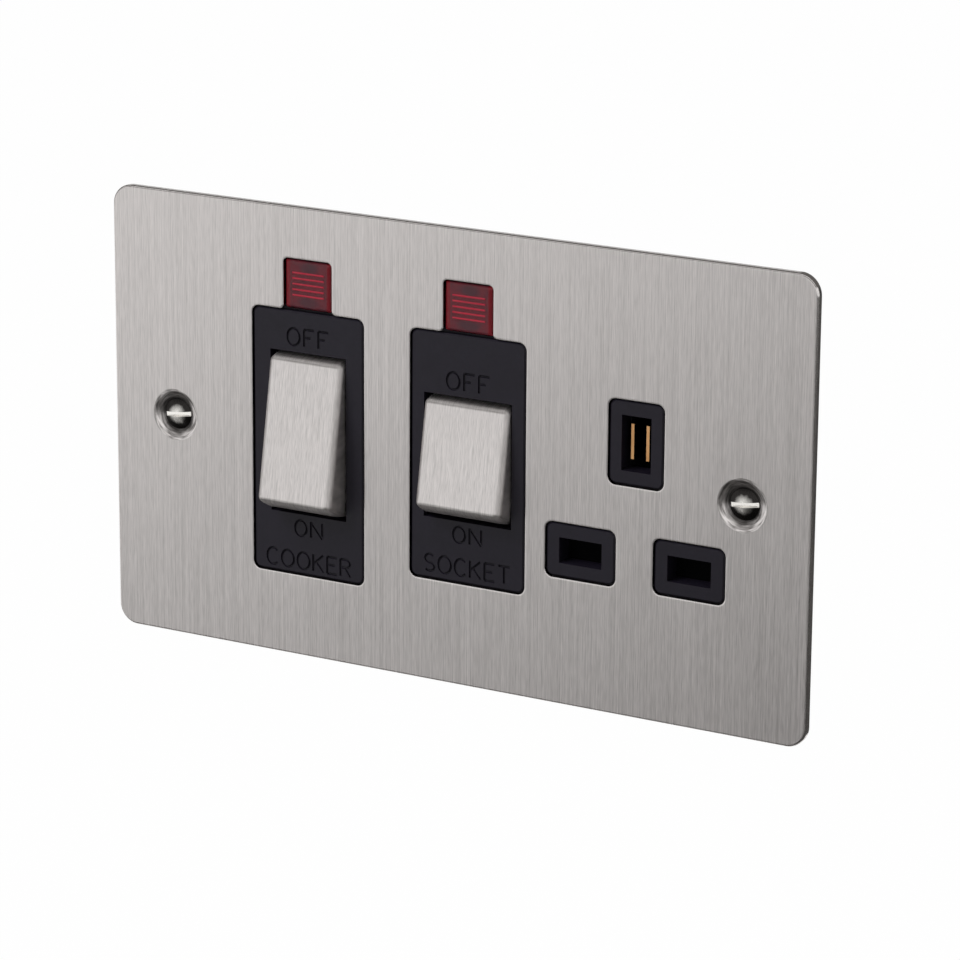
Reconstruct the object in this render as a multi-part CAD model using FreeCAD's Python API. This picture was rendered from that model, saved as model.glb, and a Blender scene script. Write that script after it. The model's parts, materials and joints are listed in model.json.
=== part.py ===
import FreeCAD
import Part
import math
import os

# Cooker control unit: a double-pole cooker switch and a switched socket on one brushed steel plate.
# Millimetres. X is to the right, Y goes into the wall, Z is up. The wall is Y = 0, and the origin
# lies on it, midway between the two fixing screws.

V = FreeCAD.Vector

# Front plate and gasket
PLATE_W = 148.0
PLATE_H = 87.5
PLATE_T = 1.4
PLATE_CORNER = 4.0
PLATE_EDGE = 0.5
PLATE_ROLL_W = 0.3
PLATE_ROLL_D = 0.1
GASKET_T = 0.5
GASKET_INSET = 0.7
FIXING_PITCH = 120.6
DISH_R = 4.8
DISH_DEPTH = 0.75
DISH_LIP_R = 1.5
SEAT_R = 3.15
FIXING_HOLE_R = 2.0
STUD_R = 1.5

# Front moulding
PAD_RECESS = 0.15
PAD_GAP = 0.3
PAD_EDGE = 0.3
PAD_CORNER = 1.6
FLANGE_T = 2.5
FLANGE_MARGIN = 7.2
FLANGE_BELOW = 2.0
FLANGE_ABOVE = 1.5
FLANGE_CORNER = 2.0
NOTCH_R = 7.5
STUD_INSET = 3.2
STUD_Z = 27.5
STUD_TAIL = 4.2

# Switches
SWITCH_PAD_W = 24.6
LENS_W = 10.6
LENS_H = 9.9
LENS_CORNER = 1.0
LENS_RECESS = 0.0
LENS_GAP = 0.2
LENS_NECK = 0.8
LENS_EDGE = 0.7
LENS_WALL = 1.0
LENS_RIM = 1.0
LENS_RIBS = 5
LENS_RIB_PITCH = 1.07
LENS_RIB_LEN = 6.8
LENS_RIB_W = 0.7
LENS_RIB_H = 0.4
ROCKER_TILT = 10.0
ROCKER_SIDE_GAP = 0.3
ROCKER_END_GAP = 0.45
ROCKER_EDGE = 1.3
CAP_T = 0.5
CAP_SKIRT = 2.0
CAP_INNER_EDGE = 0.7
CORE_FOOT = 0.6
TRUNNION_R = 1.2
TRUNNION_LEN = 2.0
RUN_GAP = 0.06
PIVOT_Z = 0.1
PIVOT_INSET = 0.5
CHAMBER_GAP = 0.4

# Contacts of the switches
POLE = 5.0
TUBE_R = 2.2
TUBE_START = 1.0
TUBE_END = 6.6
TUBE_FLOOR = 1.6
PLUNGER_R = 1.42
PLUNGER_START = 5.0
PLUNGER_REACH = 11.0
PLUNGER_GAP = 0.1
PLUNGER_COIL_R = 1.05
PLUNGER_WIRE_R = 0.22
PLUNGER_TURNS = 3
BLADE_T = 1.0
BLADE_W = 4.4
BLADE_ANGLE = 8.0
BLADE_UP = 12.0
BLADE_DOWN = 6.0
TIP_ARM = 10.3
TIP_R = 1.5
TIP_H = 0.6
TIP_GAP = 0.05
KNUCKLE_R = 0.8
KNUCKLE_RISE = 0.3
STRIP_T = 1.2
STRIP_W = 4.6
STRIP_END = 2.2
FEED_END = 1.4
LINK_T = 1.0
LINK_H = 2.5
LINK_GAP = 2.7
LINK_BRIDGE = 5.0
LINK_SIDE = 2.5

# Socket, to the standard pin spacing
PIN_PITCH = 22.23
SOCKET_X = 38.77
EARTH_Z = 8.19
EARTH_PAD = (11.5, 16.2)
EARTH_HOLE = (6.0, 10.4)
LIVE_PAD = (14.7, 10.7)
LIVE_HOLE = (8.8, 4.9)
LEAF_T = 0.6
EARTH_LEAF_GAP = 2.5
EARTH_LEAF_H = 6.6
LIVE_LEAF_GAP = 3.2
LIVE_LEAF_W = 6.4
LIVE_LEAF_LEAD = 2.0
LIVE_DEPTH = 20.0
EARTH_DEPTH = 23.6
EARTH_LEAF_SINK = 1.55
EARTH_LEAF_DROP = 0.0
EARTH_TAIL_W = 5.0
NEUTRAL_RUN_Z = (17.0, 20.0)
LINE_RUN_Z = (28.6, 31.4)
SHUTTER_T = 1.8
SHUTTER_GAP = 0.25
SHUTTER_LAP = 1.0
SHUTTER_SIDE_LAP = 0.8
SHUTTER_TRAVEL = 6.5
STEM_W = 4.8
EARTH_PIN_H = 7.92
RAMP_SPARE = 1.6
RAMP_SIDE_GAP = 0.35
RAMP_SET_BACK = 3.0
RAMP_TIP = 1.0
SPRING_R = 1.3
SPRING_WIRE_R = 0.25
SPRING_TURNS = 5
SPRING_WELL = 0.5

# Rear housing and terminals
HOUSE_LEFT = -45.0
HOUSE_RIGHT = 57.5
HOUSE_BOTTOM = -31.0
HOUSE_TOP = 34.5
HOUSE_CORNER = 2.5
HOUSE_WALL = 1.5
BLOCK_W = 9.4
BLOCK_D = 10.0
BLOCK_H = 11.0
BLOCK_INSET = 0.8
BLOCK_SPREAD = 7.2
CABLE_R = 3.2
CLAMP_R = 2.2
CLAMP_HEAD_H = 1.8
STRAP_T = 0.8
STRAP_W = 3.0
HEAD_ROOM = 2.2
CORE_FLOOR = 2.2
CORE_W = 8.4
CORE_L = 20.0
CORE_RIB = 1.2
CORE_EDGE = 2.0
PARTITION_T = 1.6
PARTITION_RISE = 6.5
PARTITION_BELOW = 4.0
PARTITION_ABOVE = 2.0
PARTITION_ROOT = 0.5
SHUTTER_ROOM = 0.4
SHUTTER_FLOOR = 0.5
CLEAR = 0.2

# Fasteners and neon lamps
FIXING_SCREW_R = 1.75
FIXING_NECK = 0.3
FIXING_SCREW_END = 22.0
FIXING_HEAD_RISE = 0.65
FIXING_SLOT_W = 0.9
HOUSE_SCREW_R = 1.4
HOUSE_SCREW_HEAD_R = 2.6
HOUSE_SCREW_HEAD_H = 1.8
HOUSE_SCREW_GRIP = 6.0
HOUSE_SCREW_BITE = 1.8
HOUSE_SCREW_LOW = 3.2
HOUSE_SCREW_TOP = 6.5
EARTH_SCREW_Z = 21.0
NUT_R = 3.15
NUT_H = 2.4
LAMP_R = 2.2
LAMP_HALF = 3.5
LAMP_SHOULDER = 1.2
LAMP_SET_BACK = 4.2
LEAD_W = 0.6
RESISTOR_R = 1.2
RESISTOR_L = 4.8

# Levels from front to back
PLATE_FRONT = -(GASKET_T + PLATE_T)
PLATE_BACK = -GASKET_T
PAD_FRONT = PLATE_FRONT + PAD_RECESS
SPLIT = PLATE_BACK + FLANGE_T
PIVOT_Y = SPLIT - PIVOT_INSET
BLADE_FRONT = PIVOT_Y + PLUNGER_REACH + PLUNGER_GAP
BLADE_AXIS = BLADE_FRONT + BLADE_T + KNUCKLE_RISE
BLADE_BACK_ON = BLADE_AXIS - (BLADE_AXIS - BLADE_FRONT) * math.cos(math.radians(BLADE_ANGLE)) + BLADE_T
STRIP_FRONT = BLADE_BACK_ON + 2 * TIP_H + TIP_GAP
FLOOR = STRIP_FRONT + STRIP_T
BLOCK_BACK = FLOOR + BLOCK_D
HOUSE_BACK = BLOCK_BACK + HEAD_ROOM
CABLE_Y = FLOOR + BLOCK_D / 2
LIVE_Z = EARTH_Z - PIN_PITCH
NEUTRAL_X = SOCKET_X - PIN_PITCH / 2
LINE_X = SOCKET_X + PIN_PITCH / 2


class Switch:
    """One double-pole rocker switch: its place on the plate and the size of its rocker."""

    def __init__(self, name, x, pad_top, pad_bottom, rocker_w, swing_r, face, lamp_z):
        self.name = name
        self.x = x
        self.pad_top = pad_top
        self.pad_bottom = pad_bottom
        self.rocker_w = rocker_w
        self.swing_r = swing_r
        self.face = face
        self.lamp_z = lamp_z
        self.window_w = rocker_w + 2 * ROCKER_SIDE_GAP
        self.window_h = 2 * (swing_r + ROCKER_END_GAP)
        self.chamber = self.window_w / 2 + CHAMBER_GAP
        self.poles = {"line": x - POLE, "neutral": x + POLE}


COOKER = Switch("cooker", -30.6, 24.0, -27.8, 16.0, 15.35, 6.9, 28.5)
SOCKET = Switch("socket", 3.85, 24.0, -24.0, 18.0, 11.5, 5.9, 26.0)
SWITCHES = (COOKER, SOCKET)


def box(x0, x1, y0, y1, z0, z1):
    """A block between two corners."""
    return Part.makeBox(x1 - x0, y1 - y0, z1 - z0, V(x0, y0, z0))


def rod(axis, p, r, a, b):
    """A cylinder along one axis from a to b; p holds the other two coordinates in order."""
    if axis == "x":
        return Part.makeCylinder(r, b - a, V(a, p[0], p[1]), V(1, 0, 0))
    if axis == "y":
        return Part.makeCylinder(r, b - a, V(p[0], a, p[1]), V(0, 1, 0))
    return Part.makeCylinder(r, b - a, V(p[0], p[1], a), V(0, 0, 1))


def rounded(points, radii):
    """A closed outline in X and Z, each corner, inward or outward, rounded by its own radius."""
    count = len(points)
    edges = []
    starts = []
    ends = []
    mids = []
    for i in range(count):
        here = V(points[i][0], 0, points[i][1])
        before = V(points[i - 1][0], 0, points[i - 1][1])
        after = V(points[(i + 1) % count][0], 0, points[(i + 1) % count][1])
        a = (before - here).normalize()
        b = (after - here).normalize()
        half = a.getAngle(b) / 2
        reach = radii[i] / math.tan(half)
        middle = here + (a + b).normalize() * (radii[i] / math.sin(half) - radii[i])
        starts.append(here + a * reach)
        mids.append(middle)
        ends.append(here + b * reach)
    for i in range(count):
        edges.append(Part.Arc(starts[i], mids[i], ends[i]).toShape())
        edges.append(Part.LineSegment(ends[i], starts[(i + 1) % count]).toShape())
    return Part.Wire(edges)


def slab(points, radii, y0, y1):
    """A flat piece with a rounded outline, from y0 to y1."""
    face = Part.Face(rounded(points, radii))
    solid = face.extrude(V(0, y1 - y0, 0))
    solid.translate(V(0, y0, 0))
    return solid


def corners(x0, x1, z0, z1):
    """The corner points of a rectangle, for an outline."""
    return [(x0, z0), (x1, z0), (x1, z1), (x0, z1)]


def pad(x, z, w, h, r, y0, y1):
    """A slab with a plain rounded rectangle about a centre."""
    return slab(corners(x - w / 2, x + w / 2, z - h / 2, z + h / 2), [r] * 4, y0, y1)


def ribbon(path, t):
    """The outline of a bent strip of even thickness along a path in two coordinates."""
    left = []
    right = []
    for i, point in enumerate(path):
        here = V(point[0], point[1], 0)
        back = here - V(path[i - 1][0], path[i - 1][1], 0) if i > 0 else None
        ahead = V(path[i + 1][0], path[i + 1][1], 0) - here if i < len(path) - 1 else None
        first = (back or ahead).normalize()
        second = (ahead or back).normalize()
        normal_1 = V(-first.y, first.x, 0)
        normal_2 = V(-second.y, second.x, 0)
        mitre = (normal_1 + normal_2).normalize()
        mitre = mitre * (t / 2 / mitre.dot(normal_1))
        left.append(here + mitre)
        right.append(here - mitre)
    return [(p.x, p.y) for p in left + right[::-1]]


def prism(points, axis, a, b):
    """A polygon in the two other coordinates, in order, pushed along an axis from a to b."""
    if axis == "x":
        vertices = [V(a, p[0], p[1]) for p in points]
        push = V(b - a, 0, 0)
    else:
        vertices = [V(p[0], p[1], a) for p in points]
        push = V(0, 0, b - a)
    wire = Part.makePolygon(vertices + vertices[:1])
    return Part.Face(wire).extrude(push)


def turned(profile, x, z):
    """A solid turned about a line along Y through (x, z), from (radius, y) edges."""
    solid = Part.Face(Part.Wire(profile)).revolve(V(0, 0, 0), V(0, 1, 0), 360)
    solid.translate(V(x, 0, z))
    return solid


def lines(points):
    """Straight edges through (radius, y) points, closed."""
    vertices = [V(p[0], p[1], 0) for p in points]
    return [Part.LineSegment(vertices[i - 1], vertices[i]).toShape() for i in range(len(vertices))]


def edges_at(shape, y):
    """The edges that lie wholly in the plane at depth y."""
    found = []
    for edge in shape.Edges:
        bounds = edge.BoundBox
        if abs(bounds.YMin - y) < 1e-4 and abs(bounds.YMax - y) < 1e-4:
            found.append(edge)
    return found


def join(shapes):
    """One solid from touching or crossing shapes."""
    whole = shapes[0].fuse(shapes[1:]) if len(shapes) > 1 else shapes[0]
    return whole.removeSplitter()


def cut(shape, tools):
    """A shape less all of the tools."""
    return shape.cut(tools)


def coil(mean_r, wire_r, a, b, turns):
    """A spring along Z from a to b, its wire drawn with six flats to keep it light."""
    sides = 6
    steps = 12 * turns
    rise = (b - a - 2 * wire_r) / steps
    rings = []
    for i in range(steps + 1):
        turn = math.radians(30 * i)
        ring = []
        for k in range(sides):
            around = math.radians(60 * k)
            r = mean_r + wire_r * math.cos(around)
            z = a + wire_r + rise * i + wire_r * math.sin(around)
            ring.append(V(r * math.cos(turn), r * math.sin(turn), z))
        rings.append(ring)
    facets = [rings[0], rings[-1][::-1]]
    for lower, upper in zip(rings, rings[1:]):
        for k in range(sides):
            after = (k + 1) % sides
            facets.append([lower[k], upper[k], upper[after]])
            facets.append([lower[k], upper[after], lower[after]])
    faces = [Part.Face(Part.makePolygon(points + points[:1])) for points in facets]
    spring = Part.Solid(Part.Shell(faces))
    if spring.Volume < 0:
        spring.reverse()
    return spring


def cells(a, b, longest):
    """Even stretches between a and b, none over the longest, with a rib between neighbours."""
    count = math.ceil((b - a + CORE_RIB) / (longest + CORE_RIB))
    step = (b - a + CORE_RIB) / count
    return [(a + i * step, a + (i + 1) * step - CORE_RIB) for i in range(count)]


def save(name, shape):
    """Write one piece, after a look at its health."""
    if not shape.isValid():
        raise ValueError("piece is not valid: " + name)
    shape.exportStep("parts/" + name + ".step")
    print(name, len(shape.Solids), round(shape.Volume, 2))


# Places of the fasteners
FLANGE = (HOUSE_LEFT - FLANGE_MARGIN, HOUSE_RIGHT + FLANGE_MARGIN)
FLANGE += (HOUSE_BOTTOM - FLANGE_BELOW, HOUSE_TOP + FLANGE_ABOVE)
FIXINGS = (-FIXING_PITCH / 2, FIXING_PITCH / 2)
STUDS = []
for side_x in (FLANGE[0] + STUD_INSET, FLANGE[1] - STUD_INSET):
    for side_z in (-STUD_Z, STUD_Z):
        STUDS.append((side_x, side_z))
EARTH_STUD = STUDS[2]
PIN_ROOM = LIVE_LEAF_W / 2 + 2 * CLEAR
BETWEEN_SWITCHES = (COOKER.x + COOKER.chamber + SOCKET.x - SOCKET.chamber) / 2
BESIDE_SOCKET = (SOCKET.x + SOCKET.chamber + NEUTRAL_X - PIN_ROOM) / 2
HOUSE_SCREWS = (
    (BETWEEN_SWITCHES, HOUSE_TOP - HOUSE_SCREW_TOP),
    (BETWEEN_SWITCHES, HOUSE_BOTTOM + HOUSE_SCREW_LOW),
    (BESIDE_SOCKET, HOUSE_BOTTOM + HOUSE_SCREW_LOW),
    (SOCKET_X, EARTH_SCREW_Z),
)
SUPPLY_Z = (HOUSE_BOTTOM + BLOCK_INSET, HOUSE_BOTTOM + BLOCK_INSET + BLOCK_H)
LOAD_Z = (HOUSE_TOP - BLOCK_INSET - BLOCK_H, HOUSE_TOP - BLOCK_INSET)


def block_x(switch, pole):
    """The middle of a terminal block, set outward so that its cable clears its neighbour's."""
    return switch.x + math.copysign(BLOCK_SPREAD, switch.poles[pole] - switch.x)


def window_outline(switch, gap):
    """The plate's opening for a switch pad and the lens above it, drawn in by a gap."""
    left = switch.x - SWITCH_PAD_W / 2 + gap
    right = switch.x + SWITCH_PAD_W / 2 - gap
    lens_left = switch.x - LENS_W / 2 + gap
    lens_right = switch.x + LENS_W / 2 - gap
    low = switch.pad_bottom + gap
    top = switch.pad_top - gap
    lens_top = switch.pad_top + LENS_H - gap
    points = [(left, low), (right, low), (right, top), (lens_right, top)]
    points += [(lens_right, lens_top), (lens_left, lens_top), (lens_left, top), (left, top)]
    outer = PAD_CORNER - gap
    neck = LENS_NECK + gap
    top_corner = LENS_CORNER - gap
    radii = [outer] * 3 + [neck, top_corner, top_corner, neck] + [outer]
    return points, radii


def pad_outline(x, z, size, gap):
    """The plate's opening for a socket pad, drawn in by a gap."""
    w = size[0] / 2 - gap
    h = size[1] / 2 - gap
    return corners(x - w, x + w, z - h, z + h), [PAD_CORNER - gap] * 4


def socket_pads():
    """Centre and size of the three socket pads, with the size of the pin hole in each."""
    return (
        (SOCKET_X, EARTH_Z, EARTH_PAD, EARTH_HOLE),
        (NEUTRAL_X, LIVE_Z, LIVE_PAD, LIVE_HOLE),
        (LINE_X, LIVE_Z, LIVE_PAD, LIVE_HOLE),
    )


def dish(x):
    """Pressed seat of a fixing screw with a rounded lip, and the radius of that lip."""
    slope = math.atan2(DISH_DEPTH, DISH_R - SEAT_R)
    rim = DISH_R + DISH_LIP_R * math.tan(slope / 2)
    lip = []
    for angle in (0.0, slope / 2, slope):
        r = rim - DISH_LIP_R * math.sin(angle)
        lip.append(V(r, PLATE_FRONT + DISH_LIP_R * (1 - math.cos(angle)), 0))
    front = [V(SEAT_R, DISH_DEPTH, 0), V(FIXING_HOLE_R, DISH_DEPTH + SEAT_R - FIXING_HOLE_R, 0)]
    outline = [lip[-1]]
    outline += [p + V(0, PLATE_FRONT, 0) for p in front]
    outline += [p + V(0, PLATE_BACK, 0) for p in front[::-1]]
    outline += [V(DISH_R, PLATE_BACK, 0), V(rim, PLATE_BACK, 0), lip[0]]
    profile = [Part.Arc(*lip).toShape()]
    profile += [Part.LineSegment(a, b).toShape() for a, b in zip(outline, outline[1:])]
    return turned(profile, x, 0), rim


def punched(outline, flared):
    """Tools for one opening: the punch, and the shallow rolled edge that it leaves at the front."""
    front = rounded(*flared)
    front.translate(V(0, PLATE_FRONT - PLATE_ROLL_D, 0))
    back = rounded(*outline)
    back.translate(V(0, PLATE_FRONT + PLATE_ROLL_D, 0))
    return [slab(*outline, PLATE_FRONT - 1, PLATE_BACK + 1), Part.makeLoft([front, back], True, True)]


def front_plate():
    """Pressed plate with its openings, dished screw seats and welded studs."""
    plate = pad(0, 0, PLATE_W, PLATE_H, PLATE_CORNER, PLATE_FRONT, PLATE_BACK)
    plate = plate.makeFillet(PLATE_EDGE, edges_at(plate, PLATE_FRONT))
    tools = []
    extras = []
    for switch in SWITCHES:
        tools += punched(window_outline(switch, 0.0), window_outline(switch, -2 * PLATE_ROLL_W))
    for x, z, size, hole in socket_pads():
        tools += punched(pad_outline(x, z, size, 0.0), pad_outline(x, z, size, -2 * PLATE_ROLL_W))
    for x in FIXINGS:
        seat, rim = dish(x)
        extras.append(seat)
        tools.append(rod("y", (x, 0), rim, PLATE_FRONT - 1, PLATE_BACK + 1))
    for p in STUDS:
        extras.append(rod("y", p, STUD_R, PLATE_BACK, SPLIT + STUD_TAIL))
    return join([cut(plate, tools)] + extras)


def plate_gasket():
    """Thin seal under the plate's rim, round the moulding."""
    w = PLATE_W - 2 * GASKET_INSET
    h = PLATE_H - 2 * GASKET_INSET
    ring = pad(0, 0, w, h, PLATE_CORNER - GASKET_INSET, PLATE_BACK, 0)
    gap = 2 * CLEAR
    inner = slab(corners(*flange_box(gap)), [FLANGE_CORNER + gap] * 4, PLATE_BACK - 1, 1)
    tools = [inner] + [rod("y", (x, 0), DISH_R + CLEAR, PLATE_BACK - 1, 1) for x in FIXINGS]
    return cut(ring, tools)


def flange_box(grow):
    """The moulding's outline, grown all round."""
    return FLANGE[0] - grow, FLANGE[1] + grow, FLANGE[2] - grow, FLANGE[3] + grow


def front_moulding():
    """Black moulding behind the plate: a flange with the five pads that fill the plate's openings."""
    flange = slab(corners(*FLANGE), [FLANGE_CORNER] * 4, PLATE_BACK, SPLIT)
    pads = []
    for switch in SWITCHES:
        w = SWITCH_PAD_W - 2 * PAD_GAP
        h = switch.pad_top - switch.pad_bottom - 2 * PAD_GAP
        z = (switch.pad_top + switch.pad_bottom) / 2
        pads.append(pad(switch.x, z, w, h, PAD_CORNER - PAD_GAP, PAD_FRONT, PLATE_BACK))
    for x, z, size, hole in socket_pads():
        w = size[0] - 2 * PAD_GAP
        h = size[1] - 2 * PAD_GAP
        pads.append(pad(x, z, w, h, PAD_CORNER - PAD_GAP, PAD_FRONT, PLATE_BACK))
    pads = [p.makeChamfer(PAD_EDGE, edges_at(p, PAD_FRONT)) for p in pads]
    tools = []
    for switch in SWITCHES:
        half = switch.window_h / 2
        w = switch.window_w / 2
        sides = (switch.x - w, switch.x + w)
        tools.append(box(*sides, PAD_FRONT - 1, SPLIT + 1, PIVOT_Z - half, PIVOT_Z + half))
        reach = w + TRUNNION_LEN
        bearing = TRUNNION_R + RUN_GAP
        tools.append(rod("x", (PIVOT_Y, PIVOT_Z), bearing, switch.x - reach, switch.x + reach))
        slot = (switch.x - reach, switch.x + reach, PIVOT_Y, SPLIT + 1, PIVOT_Z - bearing, PIVOT_Z + bearing)
        tools.append(box(*slot))
        lens_z = switch.pad_top + LENS_H / 2
        tools.append(pad(switch.x, lens_z, LENS_W, LENS_H, LENS_CORNER, PAD_FRONT - 1, SPLIT + 1))
        rim_w = LENS_W + 2 * (LENS_RIM + CLEAR)
        rim_h = LENS_H + 2 * (LENS_RIM + CLEAR)
        rim_y = SPLIT - LENS_RIM - CLEAR
        tools.append(pad(switch.x, lens_z, rim_w, rim_h, LENS_CORNER + CLEAR, rim_y, SPLIT + 1))
    for x, z, size, hole in socket_pads():
        half_w = hole[0] / 2
        half_h = hole[1] / 2
        tools.append(box(x - half_w, x + half_w, PAD_FRONT - 1, SPLIT + 1, z - half_h, z + half_h))
    tools += [rod("y", p, STUD_R + CLEAR, PLATE_BACK - 1, SPLIT + 1) for p in STUDS]
    pilot = HOUSE_SCREW_R + RUN_GAP
    tools += [rod("y", p, pilot, SPLIT - HOUSE_SCREW_BITE - CLEAR, SPLIT + 1) for p in HOUSE_SCREWS]
    tools += [rod("y", (x, 0), NOTCH_R, PLATE_BACK - 1, SPLIT + 1) for x in FIXINGS]
    return cut(join([flange] + pads), tools)


def lens(switch):
    """Hollow lamp cover with a flange behind and ribs inside its front."""
    w = LENS_W - 2 * LENS_GAP
    h = LENS_H - 2 * LENS_GAP
    z = switch.pad_top + LENS_H / 2
    front = PLATE_FRONT + LENS_RECESS
    cover = pad(switch.x, z, w, h, LENS_CORNER - LENS_GAP, front, SPLIT)
    cover = cover.makeChamfer(LENS_EDGE, edges_at(cover, front))
    rim = pad(switch.x, z, w + 2 * LENS_RIM, h + 2 * LENS_RIM, LENS_CORNER, SPLIT - LENS_RIM, SPLIT)
    inside = front + LENS_WALL
    hollow = box(switch.x - w / 2 + LENS_WALL, switch.x + w / 2 - LENS_WALL, inside, SPLIT + 1,
                 z - h / 2 + LENS_WALL, z + h / 2 - LENS_WALL)
    ribs = []
    half = LENS_RIB_W / 2
    for i in range(LENS_RIBS):
        rib_z = z + (i - (LENS_RIBS - 1) / 2) * LENS_RIB_PITCH
        section = [(inside, rib_z - half), (inside + LENS_RIB_H, rib_z), (inside, rib_z + half)]
        ribs.append(prism(section, "x", switch.x - LENS_RIB_LEN / 2, switch.x + LENS_RIB_LEN / 2))
    return join([cut(join([cover, rim]), [hollow])] + ribs)


def rocker_block(switch, inset, bottom):
    """The rocker's form within an inset: a flat face with ends that sweep about the pivot."""
    radius = switch.swing_r - inset
    face = switch.face - inset
    end = math.sqrt(radius ** 2 - face ** 2)
    foot = math.sqrt(radius ** 2 - bottom ** 2)
    half = switch.rocker_w / 2 - inset
    x = switch.x - half
    points = {
        "a": V(x, -face, -end),
        "b": V(x, -face, end),
        "side_b": V(x, 0, radius),
        "c": V(x, bottom, foot),
        "d": V(x, bottom, -foot),
        "side_a": V(x, 0, -radius),
    }
    wire = Part.Wire([
        Part.LineSegment(points["a"], points["b"]).toShape(),
        Part.Arc(points["b"], points["side_b"], points["c"]).toShape(),
        Part.LineSegment(points["c"], points["d"]).toShape(),
        Part.Arc(points["d"], points["side_a"], points["a"]).toShape(),
    ])
    block = Part.Face(wire).extrude(V(2 * half, 0, 0))
    block.translate(V(0, PIVOT_Y, PIVOT_Z))
    seen = [edge for edge in block.Edges if edge.BoundBox.YMin < PIVOT_Y + bottom - 1e-3]
    return block, seen


def rocker_outside(switch):
    """The rocker's outer form, rounded all over but for its open foot."""
    block, seen = rocker_block(switch, 0.0, CAP_SKIRT)
    return block.makeFillet(ROCKER_EDGE, seen)


def rocker_core(switch):
    """The moulded core under the cap, with bevelled edges."""
    block, seen = rocker_block(switch, CAP_T, CAP_SKIRT + CORE_FOOT)
    return block.makeChamfer(CAP_INNER_EDGE, seen)


def at_off(shape):
    """A rocker piece turned from its middle position to OFF: top pressed in."""
    turned_shape = shape.copy()
    turned_shape.rotate(V(0, PIVOT_Y, PIVOT_Z), V(1, 0, 0), -ROCKER_TILT)
    return turned_shape


def rocker_cap(switch):
    """Drawn steel cap over the rocker, slotted for the pivot pins."""
    half = switch.rocker_w / 2 + 1
    slot_r = TRUNNION_R + RUN_GAP
    pin = rod("x", (PIVOT_Y, PIVOT_Z), slot_r, switch.x - half, switch.x + half)
    deep = PIVOT_Y + 2 * CAP_SKIRT
    mouth = box(switch.x - half, switch.x + half, PIVOT_Y, deep, PIVOT_Z - slot_r, PIVOT_Z + slot_r)
    return at_off(cut(rocker_outside(switch), [rocker_core(switch), pin, mouth]))


def rocker_body(switch):
    """Moulded rocker: the core under the cap, the pivot pins and the two plunger tubes."""
    half = switch.rocker_w / 2 + TRUNNION_LEN
    pins = rod("x", (PIVOT_Y, PIVOT_Z), TRUNNION_R, switch.x - half, switch.x + half)
    pieces = [rocker_core(switch), pins]
    bores = []
    bore_r = PLUNGER_R + RUN_GAP
    for x in switch.poles.values():
        pieces.append(rod("y", (x, PIVOT_Z), TUBE_R, PIVOT_Y + TUBE_START, PIVOT_Y + TUBE_END))
        bores.append(rod("y", (x, PIVOT_Z), bore_r, PIVOT_Y + TUBE_FLOOR, PIVOT_Y + TUBE_END + 1))
    return at_off(cut(join(pieces), bores))


def plunger(x):
    """Round-nosed plunger that presses on a contact blade."""
    nose = PIVOT_Y + PLUNGER_REACH - PLUNGER_R
    stem = rod("y", (x, PIVOT_Z), PLUNGER_R, PIVOT_Y + PLUNGER_START, nose)
    ball = Part.makeSphere(PLUNGER_R, V(x, nose, PIVOT_Z))
    return at_off(join([stem, ball]))


def plunger_spring(x):
    """Spring between the bottom of the tube and the plunger."""
    spring = coil(PLUNGER_COIL_R, PLUNGER_WIRE_R, TUBE_FLOOR, PLUNGER_START, PLUNGER_TURNS)
    spring.rotate(V(0, 0, 0), V(1, 0, 0), -90)
    spring.translate(V(x, PIVOT_Y, PIVOT_Z))
    return at_off(spring)


def blade_at_off(shape):
    """A blade piece turned from its middle position to OFF: upper end lifted off its contact."""
    turned_shape = shape.copy()
    turned_shape.rotate(V(0, BLADE_AXIS, PIVOT_Z), V(1, 0, 0), BLADE_ANGLE)
    return turned_shape


def blade(x):
    """See-saw contact blade, bent at the knuckle that it rocks on."""
    slope = math.tan(math.radians(BLADE_ANGLE))
    middle = BLADE_FRONT + BLADE_T / 2 / math.cos(math.radians(BLADE_ANGLE))
    path = [
        (middle - BLADE_DOWN * slope, PIVOT_Z - BLADE_DOWN),
        (middle, PIVOT_Z),
        (middle - BLADE_UP * slope, PIVOT_Z + BLADE_UP),
    ]
    body = prism(ribbon(path, BLADE_T), "x", x - BLADE_W / 2, x + BLADE_W / 2)
    groove = rod("x", (BLADE_AXIS, PIVOT_Z), KNUCKLE_R + RUN_GAP, x - BLADE_W, x + BLADE_W)
    return blade_at_off(cut(body, [groove]))


def moving_tip(x):
    """Silver tip on the back of a blade's upper end."""
    angle = math.radians(BLADE_ANGLE)
    back = BLADE_BACK_ON
    tip = rod("y", (x, PIVOT_Z + TIP_ARM), TIP_R, back, back + TIP_H)
    tip.rotate(V(0, BLADE_AXIS, PIVOT_Z), V(1, 0, 0), math.degrees(2 * angle))
    return tip


def strip(x, z0, z1):
    """Flat conductor along Z on the housing's floor."""
    return box(x - STRIP_W / 2, x + STRIP_W / 2, STRIP_FRONT, FLOOR, z0, z1)


def knuckle(x):
    """Round-topped rib that carries a blade."""
    sides = (x - BLADE_W / 2, x + BLADE_W / 2)
    web = box(*sides, BLADE_AXIS, STRIP_FRONT, PIVOT_Z - KNUCKLE_R, PIVOT_Z + KNUCKLE_R)
    return join([web, rod("x", (BLADE_AXIS, PIVOT_Z), KNUCKLE_R, x - BLADE_W / 2, x + BLADE_W / 2)])


def terminal_block(x, z0, z1, w, cables):
    """Brass block with cable holes along Z and a clamp screw hole behind each."""
    body = box(x - w / 2, x + w / 2, FLOOR, BLOCK_BACK, z0, z1)
    tools = []
    for cable in cables:
        tools.append(rod("z", (cable, CABLE_Y), CABLE_R, z0 - 1, z1 + 1))
        tools.append(rod("y", (cable, (z0 + z1) / 2), CLAMP_R + RUN_GAP, CABLE_Y, BLOCK_BACK + 1))
    return cut(body, tools)


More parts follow.
